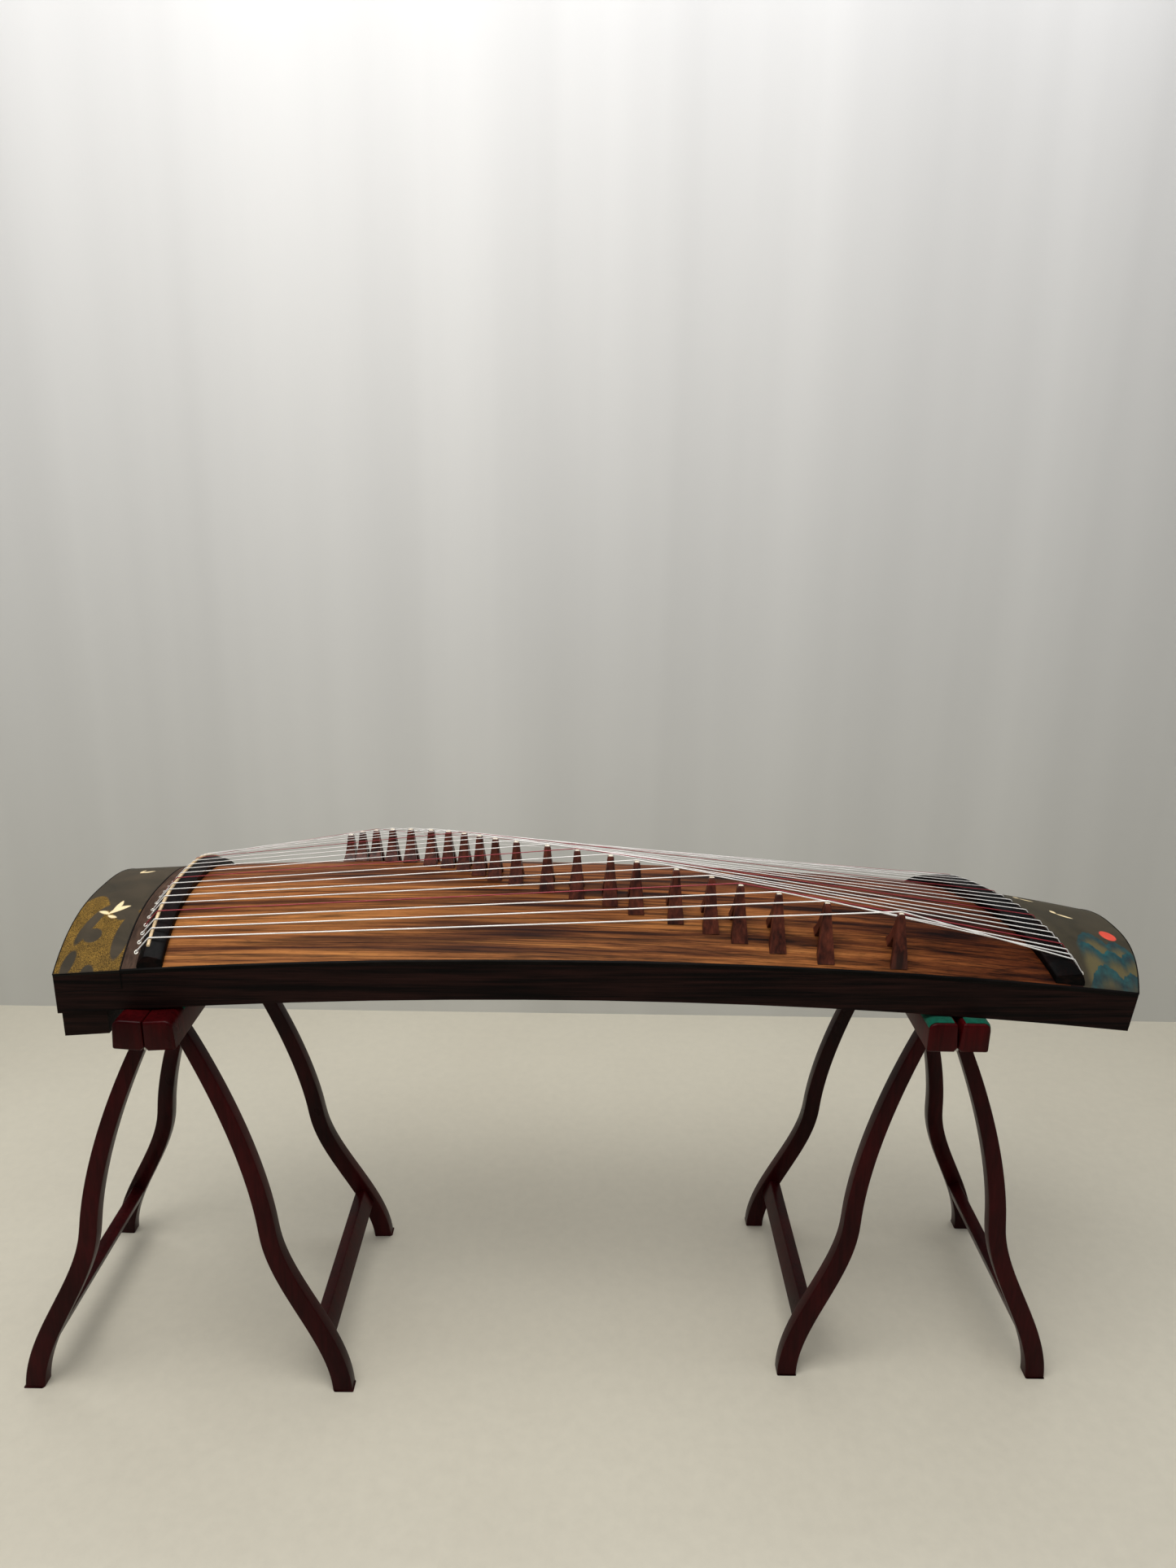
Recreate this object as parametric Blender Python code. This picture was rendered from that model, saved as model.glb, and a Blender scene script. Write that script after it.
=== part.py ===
"""A 21-string plucked zither (guzheng) resting on two folding trestles.

Metres, +Z up.  +X runs from the head, where the strings are tuned, to the tail.
+Y runs from the audience's side (front) to the player's side (rear).  The floor is z = 0.
"""

import math

import bmesh
import bpy
from mathutils import Matrix, Vector

for leftover in list(bpy.data.objects):
    bpy.data.objects.remove(leftover, do_unlink=True)

# ---------------------------------------------------------------- shared sizes
SHIFT_X, SHIFT_Y = 0.05493, -0.01925  # puts the origin under the middle of the whole set
GAP = 0.0003                         # between pieces that rest on each other

# body
BODY_LENGTH = 1.630
TAIL_END = BODY_LENGTH / 2
HEAD_END = -TAIL_END
HEAD_WIDTH, TAIL_WIDTH = 0.3865, 0.3085
EDGE_HEIGHT = 0.7424                 # upper edge of the side at mid length, before the bow
EDGE_FALL = -0.0162                  # metres per metre, the tail lies lower
EDGE_BOW = 0.0368                    # lengthwise arch of the whole body
SIDE_HEIGHT = 0.0634
SIDE_THICK = 0.012
HEAD_CROWN, TAIL_CROWN = 0.0638, 0.0729
CROWN_POWER = 2.6
TAIL_DROP, DROP_X = 0.0232, 0.42     # the arch flattens towards the tail end from here
TAIL_BOW, TAIL_BOW_POWER = 0.026, 2.2  # the tail end is rounded in plan
BOARD_THICK, BOARD_EDGE = 0.009, 0.0045

# lengthwise places of the head's pieces
LID_X = -0.7165                      # seam between lid and string-hole deck
LID_SIDE = 0.0285                    # how far the lid reaches down the side
BLOCK_END_X = -0.7000                # seam between pin block and bottom board
HOLE_X = -0.6990                     # row of string holes in the deck
DECK_END_X = -0.6845
NUT_X0, NUT_X1 = -0.6925, -0.6540
BONE_X = -0.6772

# nuts
BONE_TOP = 0.0215
NUT_TOP = 0.0185
NUT_STEP = 0.012
NUT_SWELL = 0.20                     # the tail nut is this much taller in the middle
CREST_X, CREST_SLANT = 0.6285, -0.63  # plan line of the tail nut's crest
CREST_EASE, CREST_EASE_Y = 1.95, 0.02
TAIL_HOLE = 0.0165                   # from the tail nut's crest to the holes
TAIL_SEAM = 0.016                    # from the crest back to the end of the soundboard
STRING_HOLE_RADIUS = 0.0021

# strings
STRINGS = 21
STRING_R_TREBLE, STRING_R_BASS = 0.00045, 0.00090
HEAD_SPAN, HEAD_FIRST = 0.330, -0.1675
HEAD_UNEVEN = 0.16                   # spacing at the head varies by this share
TAIL_FIRST, TAIL_STEP, TAIL_GROW = -0.137, 0.1125, 0.1373

# tuning pins
PIN_ROW_PITCH = 0.024
PIN_ROWS_X = tuple(-0.7440 - PIN_ROW_PITCH * row for row in range(3))
PIN_RADIUS, PIN_DEPTH, PIN_RISE = 0.0030, 0.016, 0.026

# distance from the bone to each bridge, string 1 (highest) to string 21, in millimetres
BRIDGE_STATIONS = (235, 259, 286, 317, 351, 388, 419, 447, 474, 501, 536,
                   586, 633, 685, 725, 785, 838, 881, 938, 1010, 1121)
BRIDGE_LOW, BRIDGE_HIGH = 0.059, 0.0715


# ---------------------------------------------------------------- number helpers
def mix(start, end, share):
    return start + (end - start) * share


def clamp(value):
    return min(1.0, max(0.0, value))


def smooth_step(value):
    share = clamp(value)
    return share * share * (3 - 2 * share)


def spread(count):
    """count + 1 values from -1 to 1, closer together near the ends."""
    return [math.sin(math.pi / 2 * (2 * i / count - 1)) for i in range(count + 1)]


def steps(start, end, count):
    return [start + (end - start) * i / count for i in range(count + 1)]


ACROSS = spread(16)                  # shares of the half width used by the top's pieces


# ---------------------------------------------------------------- body surfaces
def half_width(x):
    return mix(HEAD_WIDTH, TAIL_WIDTH, x / BODY_LENGTH + 0.5) / 2


def width_share(x, y):
    """0 on the centre line, 1 at the edge of the body."""
    return min(1.0, abs(y) / half_width(x))


def edge_z(x):
    return EDGE_HEIGHT + EDGE_FALL * x + EDGE_BOW * (1 - (2 * x / BODY_LENGTH) ** 2)


def crown(x):
    late = max(0.0, (x - DROP_X) / (TAIL_END - DROP_X))
    return mix(HEAD_CROWN, TAIL_CROWN, x / BODY_LENGTH + 0.5) - TAIL_DROP * late * late


def top_z(x, y):
    return edge_z(x) + crown(x) * (1 - width_share(x, y) ** CROWN_POWER)


def under_z(x, y):
    """Underside of the top, whose boards thin out towards the edges."""
    return top_z(x, y) - mix(BOARD_EDGE, BOARD_THICK, 1 - width_share(x, y) ** 4)


def floor_z(x):
    """Underside of the body."""
    return edge_z(x) - SIDE_HEIGHT


def seat_z(x):
    """Upper face of the pin block and of the sides, under the lid."""
    return edge_z(x) - LID_SIDE - GAP


def end_x(y):
    """Plan line of the tail end."""
    return TAIL_END + TAIL_BOW * (1 - width_share(TAIL_END, y) ** TAIL_BOW_POWER)


def crest_x(y):
    """Plan line of the tail nut's crest: slanted, and easing off on the treble side."""
    return CREST_X + CREST_SLANT * y + CREST_EASE * max(0.0, y - CREST_EASE_Y) ** 2


def seam_x(y):
    """Plan line between the soundboard and the tail block."""
    return crest_x(y) - TAIL_SEAM


# ---------------------------------------------------------------- string layout
def treble_share(number):
    """0 for the lowest string, 1 for string 1."""
    return (STRINGS - number) / (STRINGS - 1)


def head_y(number):
    share = treble_share(number)
    wave = math.sin(2 * math.pi * share) / (2 * math.pi)
    return HEAD_FIRST + HEAD_SPAN * (share - HEAD_UNEVEN * wave)


def tail_y(number):
    share = treble_share(number)
    return TAIL_FIRST + TAIL_STEP * share + TAIL_GROW * share * share


def string_radius(number):
    return mix(STRING_R_BASS, STRING_R_TREBLE, treble_share(number))


def bridge_place(number):
    x = BONE_X + BRIDGE_STATIONS[number - 1] / 1000
    share = (x - BONE_X) / (crest_x(tail_y(number)) - BONE_X)
    return x, mix(head_y(number), tail_y(number), share)


def bridge_height(number):
    """Low up to string 5, full height from string 16."""
    return mix(BRIDGE_LOW, BRIDGE_HIGH, smooth_step((number - 5) / 11))


def pin_place(number):
    return PIN_ROWS_X[(number - 1) % 3], head_y(number)


# ---------------------------------------------------------------- mesh helpers
def loft(rings):
    """A solid through rings of equal length; the end rings are filled."""
    solid = bmesh.new()
    rows = [[solid.verts.new(point) for point in ring] for ring in rings]
    count = len(rows[0])
    for row, following in zip(rows, rows[1:]):
        for i in range(count):
            j = (i + 1) % count
            solid.faces.new((row[i], row[j], following[j], following[i]))
    solid.faces.new(rows[0][::-1])
    solid.faces.new(rows[-1])
    bmesh.ops.recalc_face_normals(solid, faces=solid.faces)
    return solid


def cross_ring(x, y0, y1, z0, z1):
    """A rectangle facing along the body."""
    return [(x, y0, z0), (x, y1, z0), (x, y1, z1), (x, y0, z1)]


def long_ring(y, x0, x1, z0, z1):
    """A rectangle facing across the body."""
    return [(x0, y, z0), (x1, y, z0), (x1, y, z1), (x0, y, z1)]


def eight_directions():
    """Cosine and sine of eight directions, none on an axis."""
    angles = [math.pi * (i + 0.5) / 4 for i in range(8)]
    return [(math.cos(angle), math.sin(angle)) for angle in angles]


def round_ring(x, y, z, radius):
    return [(x + radius * c, y + radius * s, z) for c, s in eight_directions()]


def square_ring(x, y, z, half):
    """Eight points on the outline of a square."""
    ring = []
    for c, s in eight_directions():
        reach = half / max(abs(c), abs(s))
        ring.append((x + reach * c, y + reach * s, z))
    return ring


def drill(x, y, z, radius, depth):
    """An upright cutter reaching the given depth below z."""
    return loft([round_ring(x, y, z - depth, radius), round_ring(x, y, z + 0.01, radius)])


def grid_solid(columns, upper, lower):
    """A plate between two height functions over columns of plan points."""
    solid = bmesh.new()
    top = [[solid.verts.new((x, y, upper(x, y))) for x, y in col] for col in columns]
    low = [[solid.verts.new((x, y, lower(x, y))) for x, y in col] for col in columns]
    rows, count = len(columns), len(columns[0])
    face = solid.faces.new
    for i in range(rows - 1):
        for j in range(count - 1):
            face((top[i][j], top[i + 1][j], top[i + 1][j + 1], top[i][j + 1]))
            face((low[i][j], low[i][j + 1], low[i + 1][j + 1], low[i + 1][j]))
    for i in range(rows - 1):
        face((top[i][0], low[i][0], low[i + 1][0], top[i + 1][0]))
        face((top[i][-1], top[i + 1][-1], low[i + 1][-1], low[i][-1]))
    for j in range(count - 1):
        face((top[0][j], top[0][j + 1], low[0][j + 1], low[0][j]))
        face((top[-1][j], low[-1][j], low[-1][j + 1], top[-1][j + 1]))
    bmesh.ops.recalc_face_normals(solid, faces=solid.faces)
    return solid


def top_plate(x_from, x_to, along):
    """A piece of the arched top between the plan lines x_from(y) and x_to(y)."""
    columns = []
    for length_share in steps(0, 1, along):
        column = []
        for share in ACROSS:
            x = 0.0
            for _ in range(4):       # x and y depend on each other; this settles them
                y = share * half_width(x)
                x = mix(x_from(y), x_to(y), length_share)
            column.append((x, share * half_width(x)))
        columns.append(column)
    return grid_solid(columns, top_z, under_z)


def joined(solids):
    """Several separate solids in one mesh, for use as one operand."""
    whole = bmesh.new()
    for solid in solids:
        mesh = bpy.data.meshes.new("piece")
        solid.to_mesh(mesh)
        solid.free()
        whole.from_mesh(mesh)
        bpy.data.meshes.remove(mesh)
    return whole


def combine(solid, other, operation):
    """solid after an exact Boolean with other."""
    pair = []
    for name, source in (("base", solid), ("tool", other)):
        mesh = bpy.data.meshes.new(name)
        source.to_mesh(mesh)
        source.free()
        obj = bpy.data.objects.new(name, mesh)
        bpy.context.scene.collection.objects.link(obj)
        pair.append(obj)
    base, tool = pair
    modifier = base.modifiers.new("join", "BOOLEAN")
    modifier.operation = operation
    modifier.solver = "EXACT"
    modifier.object = tool
    bpy.context.view_layer.update()
    graph = bpy.context.evaluated_depsgraph_get()
    result = bpy.data.meshes.new_from_object(base.evaluated_get(graph))
    out = bmesh.new()
    out.from_mesh(result)
    for obj in pair:
        mesh = obj.data
        bpy.data.objects.remove(obj, do_unlink=True)
        bpy.data.meshes.remove(mesh)
    bpy.data.meshes.remove(result)
    bmesh.ops.triangulate(out, faces=out.faces)
    bmesh.ops.remove_doubles(out, verts=out.verts, dist=0.000002)
    return out


def place(name, solid, mat, origin=(0, 0, 0), smooth=False):
    """Makes the named object, its own origin at the given point of the body frame."""
    base = Vector(origin)
    bmesh.ops.translate(solid, verts=solid.verts, vec=-base)
    mesh = bpy.data.meshes.new(name)
    solid.to_mesh(mesh)
    solid.free()
    obj = bpy.data.objects.new(name, mesh)
    bpy.context.scene.collection.objects.link(obj)
    mesh.materials.append(mat)
    obj.location = base + Vector((SHIFT_X, SHIFT_Y, 0))
    if smooth:
        mesh.shade_smooth()
        mesh.set_sharp_from_angle(angle=math.radians(40))


# ---------------------------------------------------------------- materials
def material(name, colour, roughness, metallic=0.0, coat=0.0):
    mat = bpy.data.materials.new(name)
    mat.use_nodes = True
    node = mat.node_tree.nodes["Principled BSDF"]
    node.inputs["Base Color"].default_value = (*colour, 1)
    node.inputs["Roughness"].default_value = roughness
    node.inputs["Metallic"].default_value = metallic
    node.inputs["Coat Weight"].default_value = coat
    mat.diffuse_color = (*colour, 1)
    return mat


PAULOWNIA = material("scorched_paulownia", colour=(0.28, 0.12, 0.045), roughness=0.45)
ROSEWOOD = material("dark_rosewood", colour=(0.030, 0.012, 0.008), roughness=0.35)
EBONY = material("ebony", colour=(0.008, 0.007, 0.007), roughness=0.30)
BONE = material("bone", colour=(0.55, 0.42, 0.26), roughness=0.50)
PANEL = material("painted_panel", colour=(0.075, 0.055, 0.040), roughness=0.60)
BRIDGE_WOOD = material("bridge_rosewood", colour=(0.075, 0.022, 0.016), roughness=0.35)
STAND_WOOD = material("lacquered_stand", colour=(0.045, 0.006, 0.007), roughness=0.22, coat=0.5)
STRING = material("wound_string", colour=(0.72, 0.70, 0.66), roughness=0.35, metallic=0.3)
STEEL = material("pin_steel", colour=(0.45, 0.44, 0.42), roughness=0.30, metallic=1.0)
BLOCK_WOOD = material("maple_block", colour=(0.16, 0.085, 0.04), roughness=0.55)


# ---------------------------------------------------------------- soundboard and case
BRACES_X = (-0.36, 0.02, 0.37)
BRACE_HALF, BRACE_DEEP = 0.005, 0.016
BRACE_SPAN = 0.80                    # share of the board's width
BRACE_BITE = 0.0015                  # overlap with the soundboard
SIDE_RAKE = 0.007                    # the side's lower edge ends this far short of the upper
SIDE_LID_GAP = 0.0006                # the full-height part starts this far behind the lid
SIDE_CLEAR = 0.0008                  # inner face to the underside of the top
BOTTOM_THICK, BOTTOM_END_X = 0.007, 0.7845
SOUND_HOLES = ((-0.12, 0.075, 0.030), (0.40, 0.034, 0.034))  # centre x, radius x, radius y


def build_soundboard():
    board = top_plate(lambda y: DECK_END_X + GAP, seam_x, 12)
    braces = []
    for x in BRACES_X:
        rings = []
        for share in spread(8):
            y = BRACE_SPAN * share * half_width(x)
            under = under_z(x, y)
            reach = BRACE_DEEP * (1 - 0.6 * share * share)
            rings.append(long_ring(y, x - BRACE_HALF, x + BRACE_HALF,
                                   under + BRACE_BITE, under - reach))
        braces.append(loft(rings))
    place("soundboard", combine(board, joined(braces), "UNION"), PAULOWNIA, smooth=True)


def build_side(name, sign):
    """A side of the case: full height from the lid seam on, cut down under the lid."""
    outer, inner = [], []
    step_x = LID_X + SIDE_LID_GAP

    def add(x, z_out, z_in):
        outer.append((x, sign * half_width(x), z_out))
        inner.append((x, sign * (half_width(x) - SIDE_THICK), z_in))

    for x in steps(HEAD_END, TAIL_END - SIDE_RAKE, 14):
        add(x, floor_z(x), floor_z(x))
    for x in steps(TAIL_END, step_x, 14):
        y_in = half_width(x) - SIDE_THICK
        add(x, edge_z(x) - BOARD_EDGE - GAP, under_z(x, y_in) - SIDE_CLEAR)
    for x in steps(step_x, HEAD_END, 2):
        add(x, seat_z(x), seat_z(x))
    place(name, loft([outer, inner]), ROSEWOOD)


def build_bottom():
    """The back of the body, with its two sound openings."""
    columns = [[(x, share * (half_width(x) - SIDE_THICK - GAP)) for share in (-1, -0.5, 0, 0.5, 1)]
               for x in steps(BLOCK_END_X + GAP, BOTTOM_END_X, 16)]
    board = grid_solid(columns, lambda x, y: floor_z(x) + BOTTOM_THICK, lambda x, y: floor_z(x))
    cutters = []
    for centre_x, radius_x, radius_y in SOUND_HOLES:
        angles = [2 * math.pi * i / 20 for i in range(20)]
        low = floor_z(centre_x)
        cutters.append(loft([[(centre_x + radius_x * math.cos(angle),
                               radius_y * math.sin(angle), z) for angle in angles]
                             for z in (low - 0.02, low + 0.03)]))
    place("bottom_board", combine(board, joined(cutters), "DIFFERENCE"), BLOCK_WOOD)


# ---------------------------------------------------------------- head
FOOT_X0, FOOT_X1, FOOT_DROP = -0.8105, -0.7440, 0.040
FOOT_GAP = GAP + 0.0002              # between the foot and the body's underside
FOOT_INSET = 0.004                   # foot from the body's sides
CORE_INSET, CORE_REACH = 0.004, 0.010  # core that ties the foot to the block
PIN_HOLE_CLEAR, PIN_HOLE_EXTRA = 0.0005, 0.001
PIN_POINT = 0.8                      # radius at the pin's tip, as a share
LID_SKIN, LID_WALL, LID_END = 0.008, 0.012, 0.008
LID_CUT_OVER = 0.02                  # the lid's cutter runs this far past its open faces
LID_DECK_GAP = 0.0005


def build_pin_block():
    """The head block that holds the tuning pins, with the head foot under it."""
    rings = []
    for x in steps(HEAD_END + GAP, BLOCK_END_X, 4):
        half = half_width(x) - SIDE_THICK - GAP
        rings.append(cross_ring(x, -half, half, floor_z(x), seat_z(x)))
    block = loft(rings)
    foot, core = [], []
    for x in (FOOT_X0, FOOT_X1):
        half = half_width(x) - FOOT_INSET
        foot.append(cross_ring(x, -half, half, floor_z(x) - FOOT_DROP, floor_z(x) - FOOT_GAP))
    for x in (FOOT_X0 + CORE_INSET, FOOT_X1 - CORE_INSET):
        half = half_width(x) - SIDE_THICK - CORE_INSET
        core.append(cross_ring(x, -half, half, floor_z(x) - CORE_REACH, floor_z(x) + CORE_REACH))
    block = combine(block, loft(core), "UNION")
    block = combine(block, loft(foot), "UNION")
    holes = []
    for number in range(1, STRINGS + 1):
        x, y = pin_place(number)
        holes.append(drill(x, y, seat_z(x), PIN_RADIUS + PIN_HOLE_CLEAR,
                           PIN_DEPTH + PIN_HOLE_EXTRA))
    place("pin_block", combine(block, joined(holes), "DIFFERENCE"), BLOCK_WOOD)


def build_pins():
    """Round shanks with a slightly tapered square head."""
    for number in range(1, STRINGS + 1):
        x, y = pin_place(number)
        z = seat_z(x)
        pin = loft([
            round_ring(x, y, z - PIN_DEPTH, PIN_RADIUS * PIN_POINT),
            round_ring(x, y, z - PIN_DEPTH + 0.001, PIN_RADIUS),
            round_ring(x, y, z + 0.015, PIN_RADIUS),
            square_ring(x, y, z + 0.0165, 0.0021),
            square_ring(x, y, z + PIN_RISE, 0.0018),
        ])
        place(f"tuning_pin_{number:02d}", pin, STEEL, (x, y, z))


def build_lid():
    """The tuning-box cover: arched skin, side skirts and end wall in one piece."""
    def shell(x_values, shares, inset, skin, below):
        rings = []
        for x in x_values:
            half = half_width(x) - inset
            low = edge_z(x) - LID_SIDE - below
            arch = [(x, share * half, top_z(x, share * half) - skin) for share in shares]
            rings.append(arch + [(x, half, low), (x, -half, low)])
        return loft(rings)

    outer = shell(steps(HEAD_END, LID_X, 3), ACROSS, 0, 0, 0)
    inner = shell(steps(HEAD_END + LID_END, LID_X + LID_CUT_OVER, 3), spread(12),
                  LID_WALL, LID_SKIN, LID_CUT_OVER)
    place("head_lid", combine(outer, inner, "DIFFERENCE"), PANEL,
          (HEAD_END, 0, edge_z(HEAD_END) - LID_SIDE), smooth=True)


def build_deck():
    """The strip of top with the string holes, between the lid and the soundboard."""
    deck = top_plate(lambda y: LID_X + LID_DECK_GAP, lambda y: DECK_END_X, 1)
    holes = []
    for number in range(1, STRINGS + 1):
        y = head_y(number)
        holes.append(drill(HOLE_X, y, top_z(HOLE_X, y), STRING_HOLE_RADIUS, 0.03))
    place("head_deck", combine(deck, joined(holes), "DIFFERENCE"), PANEL, smooth=True)


# ---------------------------------------------------------------- nuts and tail
BONE_HALF, GROOVE_HALF = 0.0020, 0.0023
BONE_FOOT, GROOVE_FLOOR = NUT_TOP - 0.0032, NUT_TOP - 0.0038
BONE_SHOULDER = BONE_TOP - 0.0012
BLOCK_BACK, BLOCK_FRONT = 0.020, 0.0006  # end block's faces, short of the tail end
BLOCK_RAKE = 0.0066                  # its lower edge ends this much shorter


def ridge(profile, shares, x_at, margin=GAP, swell=0.0):
    """A ridge standing on the top, across the body.

    The profile's points are (offset along the body from x_at, height above the top).
    """
    rings = []
    for share in shares:
        rise = 1 + swell * (1 - share * share)
        ring = []
        for offset, height in profile:
            y = 0.0
            for _ in range(6):       # x and y depend on each other; this settles them
                y = share * half_width(x_at(y) + offset)
            x = x_at(y) + offset
            ring.append((x, y, top_z(x, y) + margin + height * rise))
        rings.append(ring)
    return loft(rings)


def build_head_nut():
    """The stepped nut, and the bone set in its groove."""
    groove = BONE_X - NUT_X0
    length = NUT_X1 - NUT_X0
    nut = [(0, 0), (0, 0.0040), (0.0095, 0.0145),
           (groove - GROOVE_HALF, NUT_TOP - 0.0006), (groove - GROOVE_HALF, GROOVE_FLOOR),
           (groove + GROOVE_HALF, GROOVE_FLOOR), (groove + GROOVE_HALF, NUT_TOP - 0.0004),
           (0.0205, NUT_TOP - 0.0010), (length - 0.002, NUT_STEP),
           (length, NUT_STEP - 0.0020), (length, 0)]
    place("head_nut", ridge(nut, ACROSS[1:-1], lambda y: NUT_X0), EBONY)
    bone = [(-BONE_HALF, BONE_FOOT), (BONE_HALF, BONE_FOOT), (BONE_HALF, BONE_SHOULDER),
            (0.0010, BONE_TOP - GAP), (-0.0010, BONE_TOP - GAP), (-BONE_HALF, BONE_SHOULDER)]
    place("head_nut_bone", ridge(bone, ACROSS[2:-2], lambda y: BONE_X), BONE)


def build_tail_nut():
    profile = [(-0.0395, 0), (-0.0395, NUT_STEP - 0.002), (-0.0375, NUT_STEP),
               (-0.0060, NUT_TOP - 0.001), (-0.0015, NUT_TOP), (0.0015, NUT_TOP - 0.0006),
               (0.0060, 0.0070), (0.0060, 0)]
    nut = ridge(profile, ACROSS[1:-1], crest_x, margin=0.0005, swell=NUT_SWELL)
    place("tail_nut", nut, EBONY)


def build_tail_block():
    """The painted tail deck and the block that closes the tail, in one piece."""
    deck = top_plate(lambda y: seam_x(y) + GAP, end_x, 5)
    half = half_width(TAIL_END) - SIDE_THICK - 0.0006
    low = floor_z(TAIL_END) + 0.0005
    rings = []
    for share in spread(12):
        y = share * half
        back, front = end_x(y) - BLOCK_BACK, end_x(y) - BLOCK_FRONT
        rings.append([(back, y, low), (front - BLOCK_RAKE, y, low),
                      (front, y, top_z(front, y) - 0.0015), (back, y, top_z(back, y) - 0.0035)])
    block = combine(deck, loft(rings), "UNION")
    holes = []
    for number in range(1, STRINGS + 1):
        y = tail_y(number)
        x = crest_x(y) + TAIL_HOLE
        holes.append(drill(x, y, top_z(x, y), STRING_HOLE_RADIUS, 0.02))
    place("tail_block", combine(block, joined(holes), "DIFFERENCE"), PANEL, smooth=True)


# ---------------------------------------------------------------- strings
ANCHOR_HALF = 0.0022                 # square bar that joins the strings' tail ends
ANCHOR_BASS_TIP = (0.0025, -0.004, -0.002)    # the bar's ends, from the outermost strings
ANCHOR_TREBLE_TIP = (-0.003, 0.008, -0.003)


def string_tube(points, radius):
    """A four-sided tube along a path, square to the path's overall heading in plan."""
    path = [Vector(point) for point in points]
    run = path[-1] - path[0]
    run.z = 0
    run.normalize()
    side = Vector((-run.y, run.x, 0))
    rings = []
    for i, point in enumerate(path):
        before = (point - path[i - 1]).normalized() if i else None
        after = (path[i + 1] - point).normalized() if i + 1 < len(path) else None
        heading = ((before or after) + (after or before)).normalized()
        normal = side.cross(heading).normalized()
        stretch = 1.0                # keeps the thickness through a bend
        if before is not None and after is not None:
            fit = normal.dot(side.cross(before).normalized())
            stretch = min(2.0, 1 / max(0.3, fit))
        up = normal * radius * stretch
        rings.append([point + up, point + side * radius, point - up, point - side * radius])
    return loft(rings)


def string_points(number):
    """Pin, up through the deck, over bone, bridge and crest, down through the tail."""
    radius = string_radius(number)
    y_head, y_tail = head_y(number), tail_y(number)
    pin_x, _ = pin_place(number)
    nut_x = crest_x(y_tail)
    hole_x = nut_x + TAIL_HOLE
    swell = 1 + NUT_SWELL * (1 - (y_tail / half_width(nut_x)) ** 2)
    deck_z = top_z(HOLE_X, y_head)
    bone_z = top_z(BONE_X, y_head) + BONE_TOP + radius * 1.2
    crest_z = top_z(nut_x, y_tail) + NUT_TOP * swell + radius * 1.2
    tail_z = top_z(hole_x, y_tail)
    bridge_x, bridge_y = bridge_place(number)
    bridge_z = top_z(bridge_x, bridge_y) + bridge_height(number) + radius
    return [
        (pin_x + PIN_RADIUS + radius + 0.0006, y_head, seat_z(pin_x) + 0.009),
        (HOLE_X, y_head, deck_z - 0.014),
        (HOLE_X, y_head, deck_z + 0.0008),
        (BONE_X - 0.0017, y_head, bone_z - 0.0001),
        (BONE_X, y_head, bone_z + 0.0003),
        (bridge_x, bridge_y, bridge_z + 0.0004),
        (nut_x, y_tail, crest_z + 0.0008),
        (nut_x + 0.0026, y_tail, crest_z - 0.0002),
        (hole_x, y_tail, tail_z + 0.0010),
        (hole_x, y_tail, tail_z - 0.0180),
    ]


def build_strings():
    paths = [string_points(number) for number in range(1, STRINGS + 1)]
    strings = joined([string_tube(path, string_radius(number))
                      for number, path in enumerate(paths, 1)])
    ends = [Vector(path[-1]) for path in reversed(paths)]
    ends = ([ends[0] + Vector(ANCHOR_BASS_TIP)] + ends
            + [ends[-1] + Vector(ANCHOR_TREBLE_TIP)])
    anchor = [long_ring(y, x - ANCHOR_HALF, x + ANCHOR_HALF, z - ANCHOR_HALF, z + ANCHOR_HALF)
              for x, y, z in ends]
    place("string_set", combine(strings, loft(anchor), "UNION"), STRING)


# ---------------------------------------------------------------- bridges
BRIDGE_FOOT, BRIDGE_NECK = 0.0215, 0.0105  # thickness along the strings
BRIDGE_FOOT_GROW = 0.00025           # the foot thickens by this from string to string
BRIDGE_SPREAD = 0.024                # half the foot's reach across the strings
BRIDGE_EDGE = 0.004                  # least distance from the body's front edge
CROWN_FROM = 0.92                    # the top is rounded above this share of the height
# share of height, outer and inner half spread as shares of BRIDGE_SPREAD;
# the inner faces meet where the inner spread is 0
BRIDGE_LEVELS = ((0.0, 1.0, 0.46), (0.12, 0.86, 0.36), (0.32, 0.62, 0.18), (0.46, 0.49, 0.0),
                 (0.70, 0.30, None), (0.90, 0.20, None), (0.97, 0.15, None), (1.0, 0.08, None))


def bridge_half_thick(number, share):
    neck = BRIDGE_NECK / 2
    if share >= CROWN_FROM:
        return neck * math.sqrt(max(0.03, 1 - ((share - 0.91) / 0.093) ** 2))
    foot = (BRIDGE_FOOT + BRIDGE_FOOT_GROW * (number - 1)) / 2
    return mix(neck, foot, (1 - share / CROWN_FROM) ** 1.15)


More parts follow.
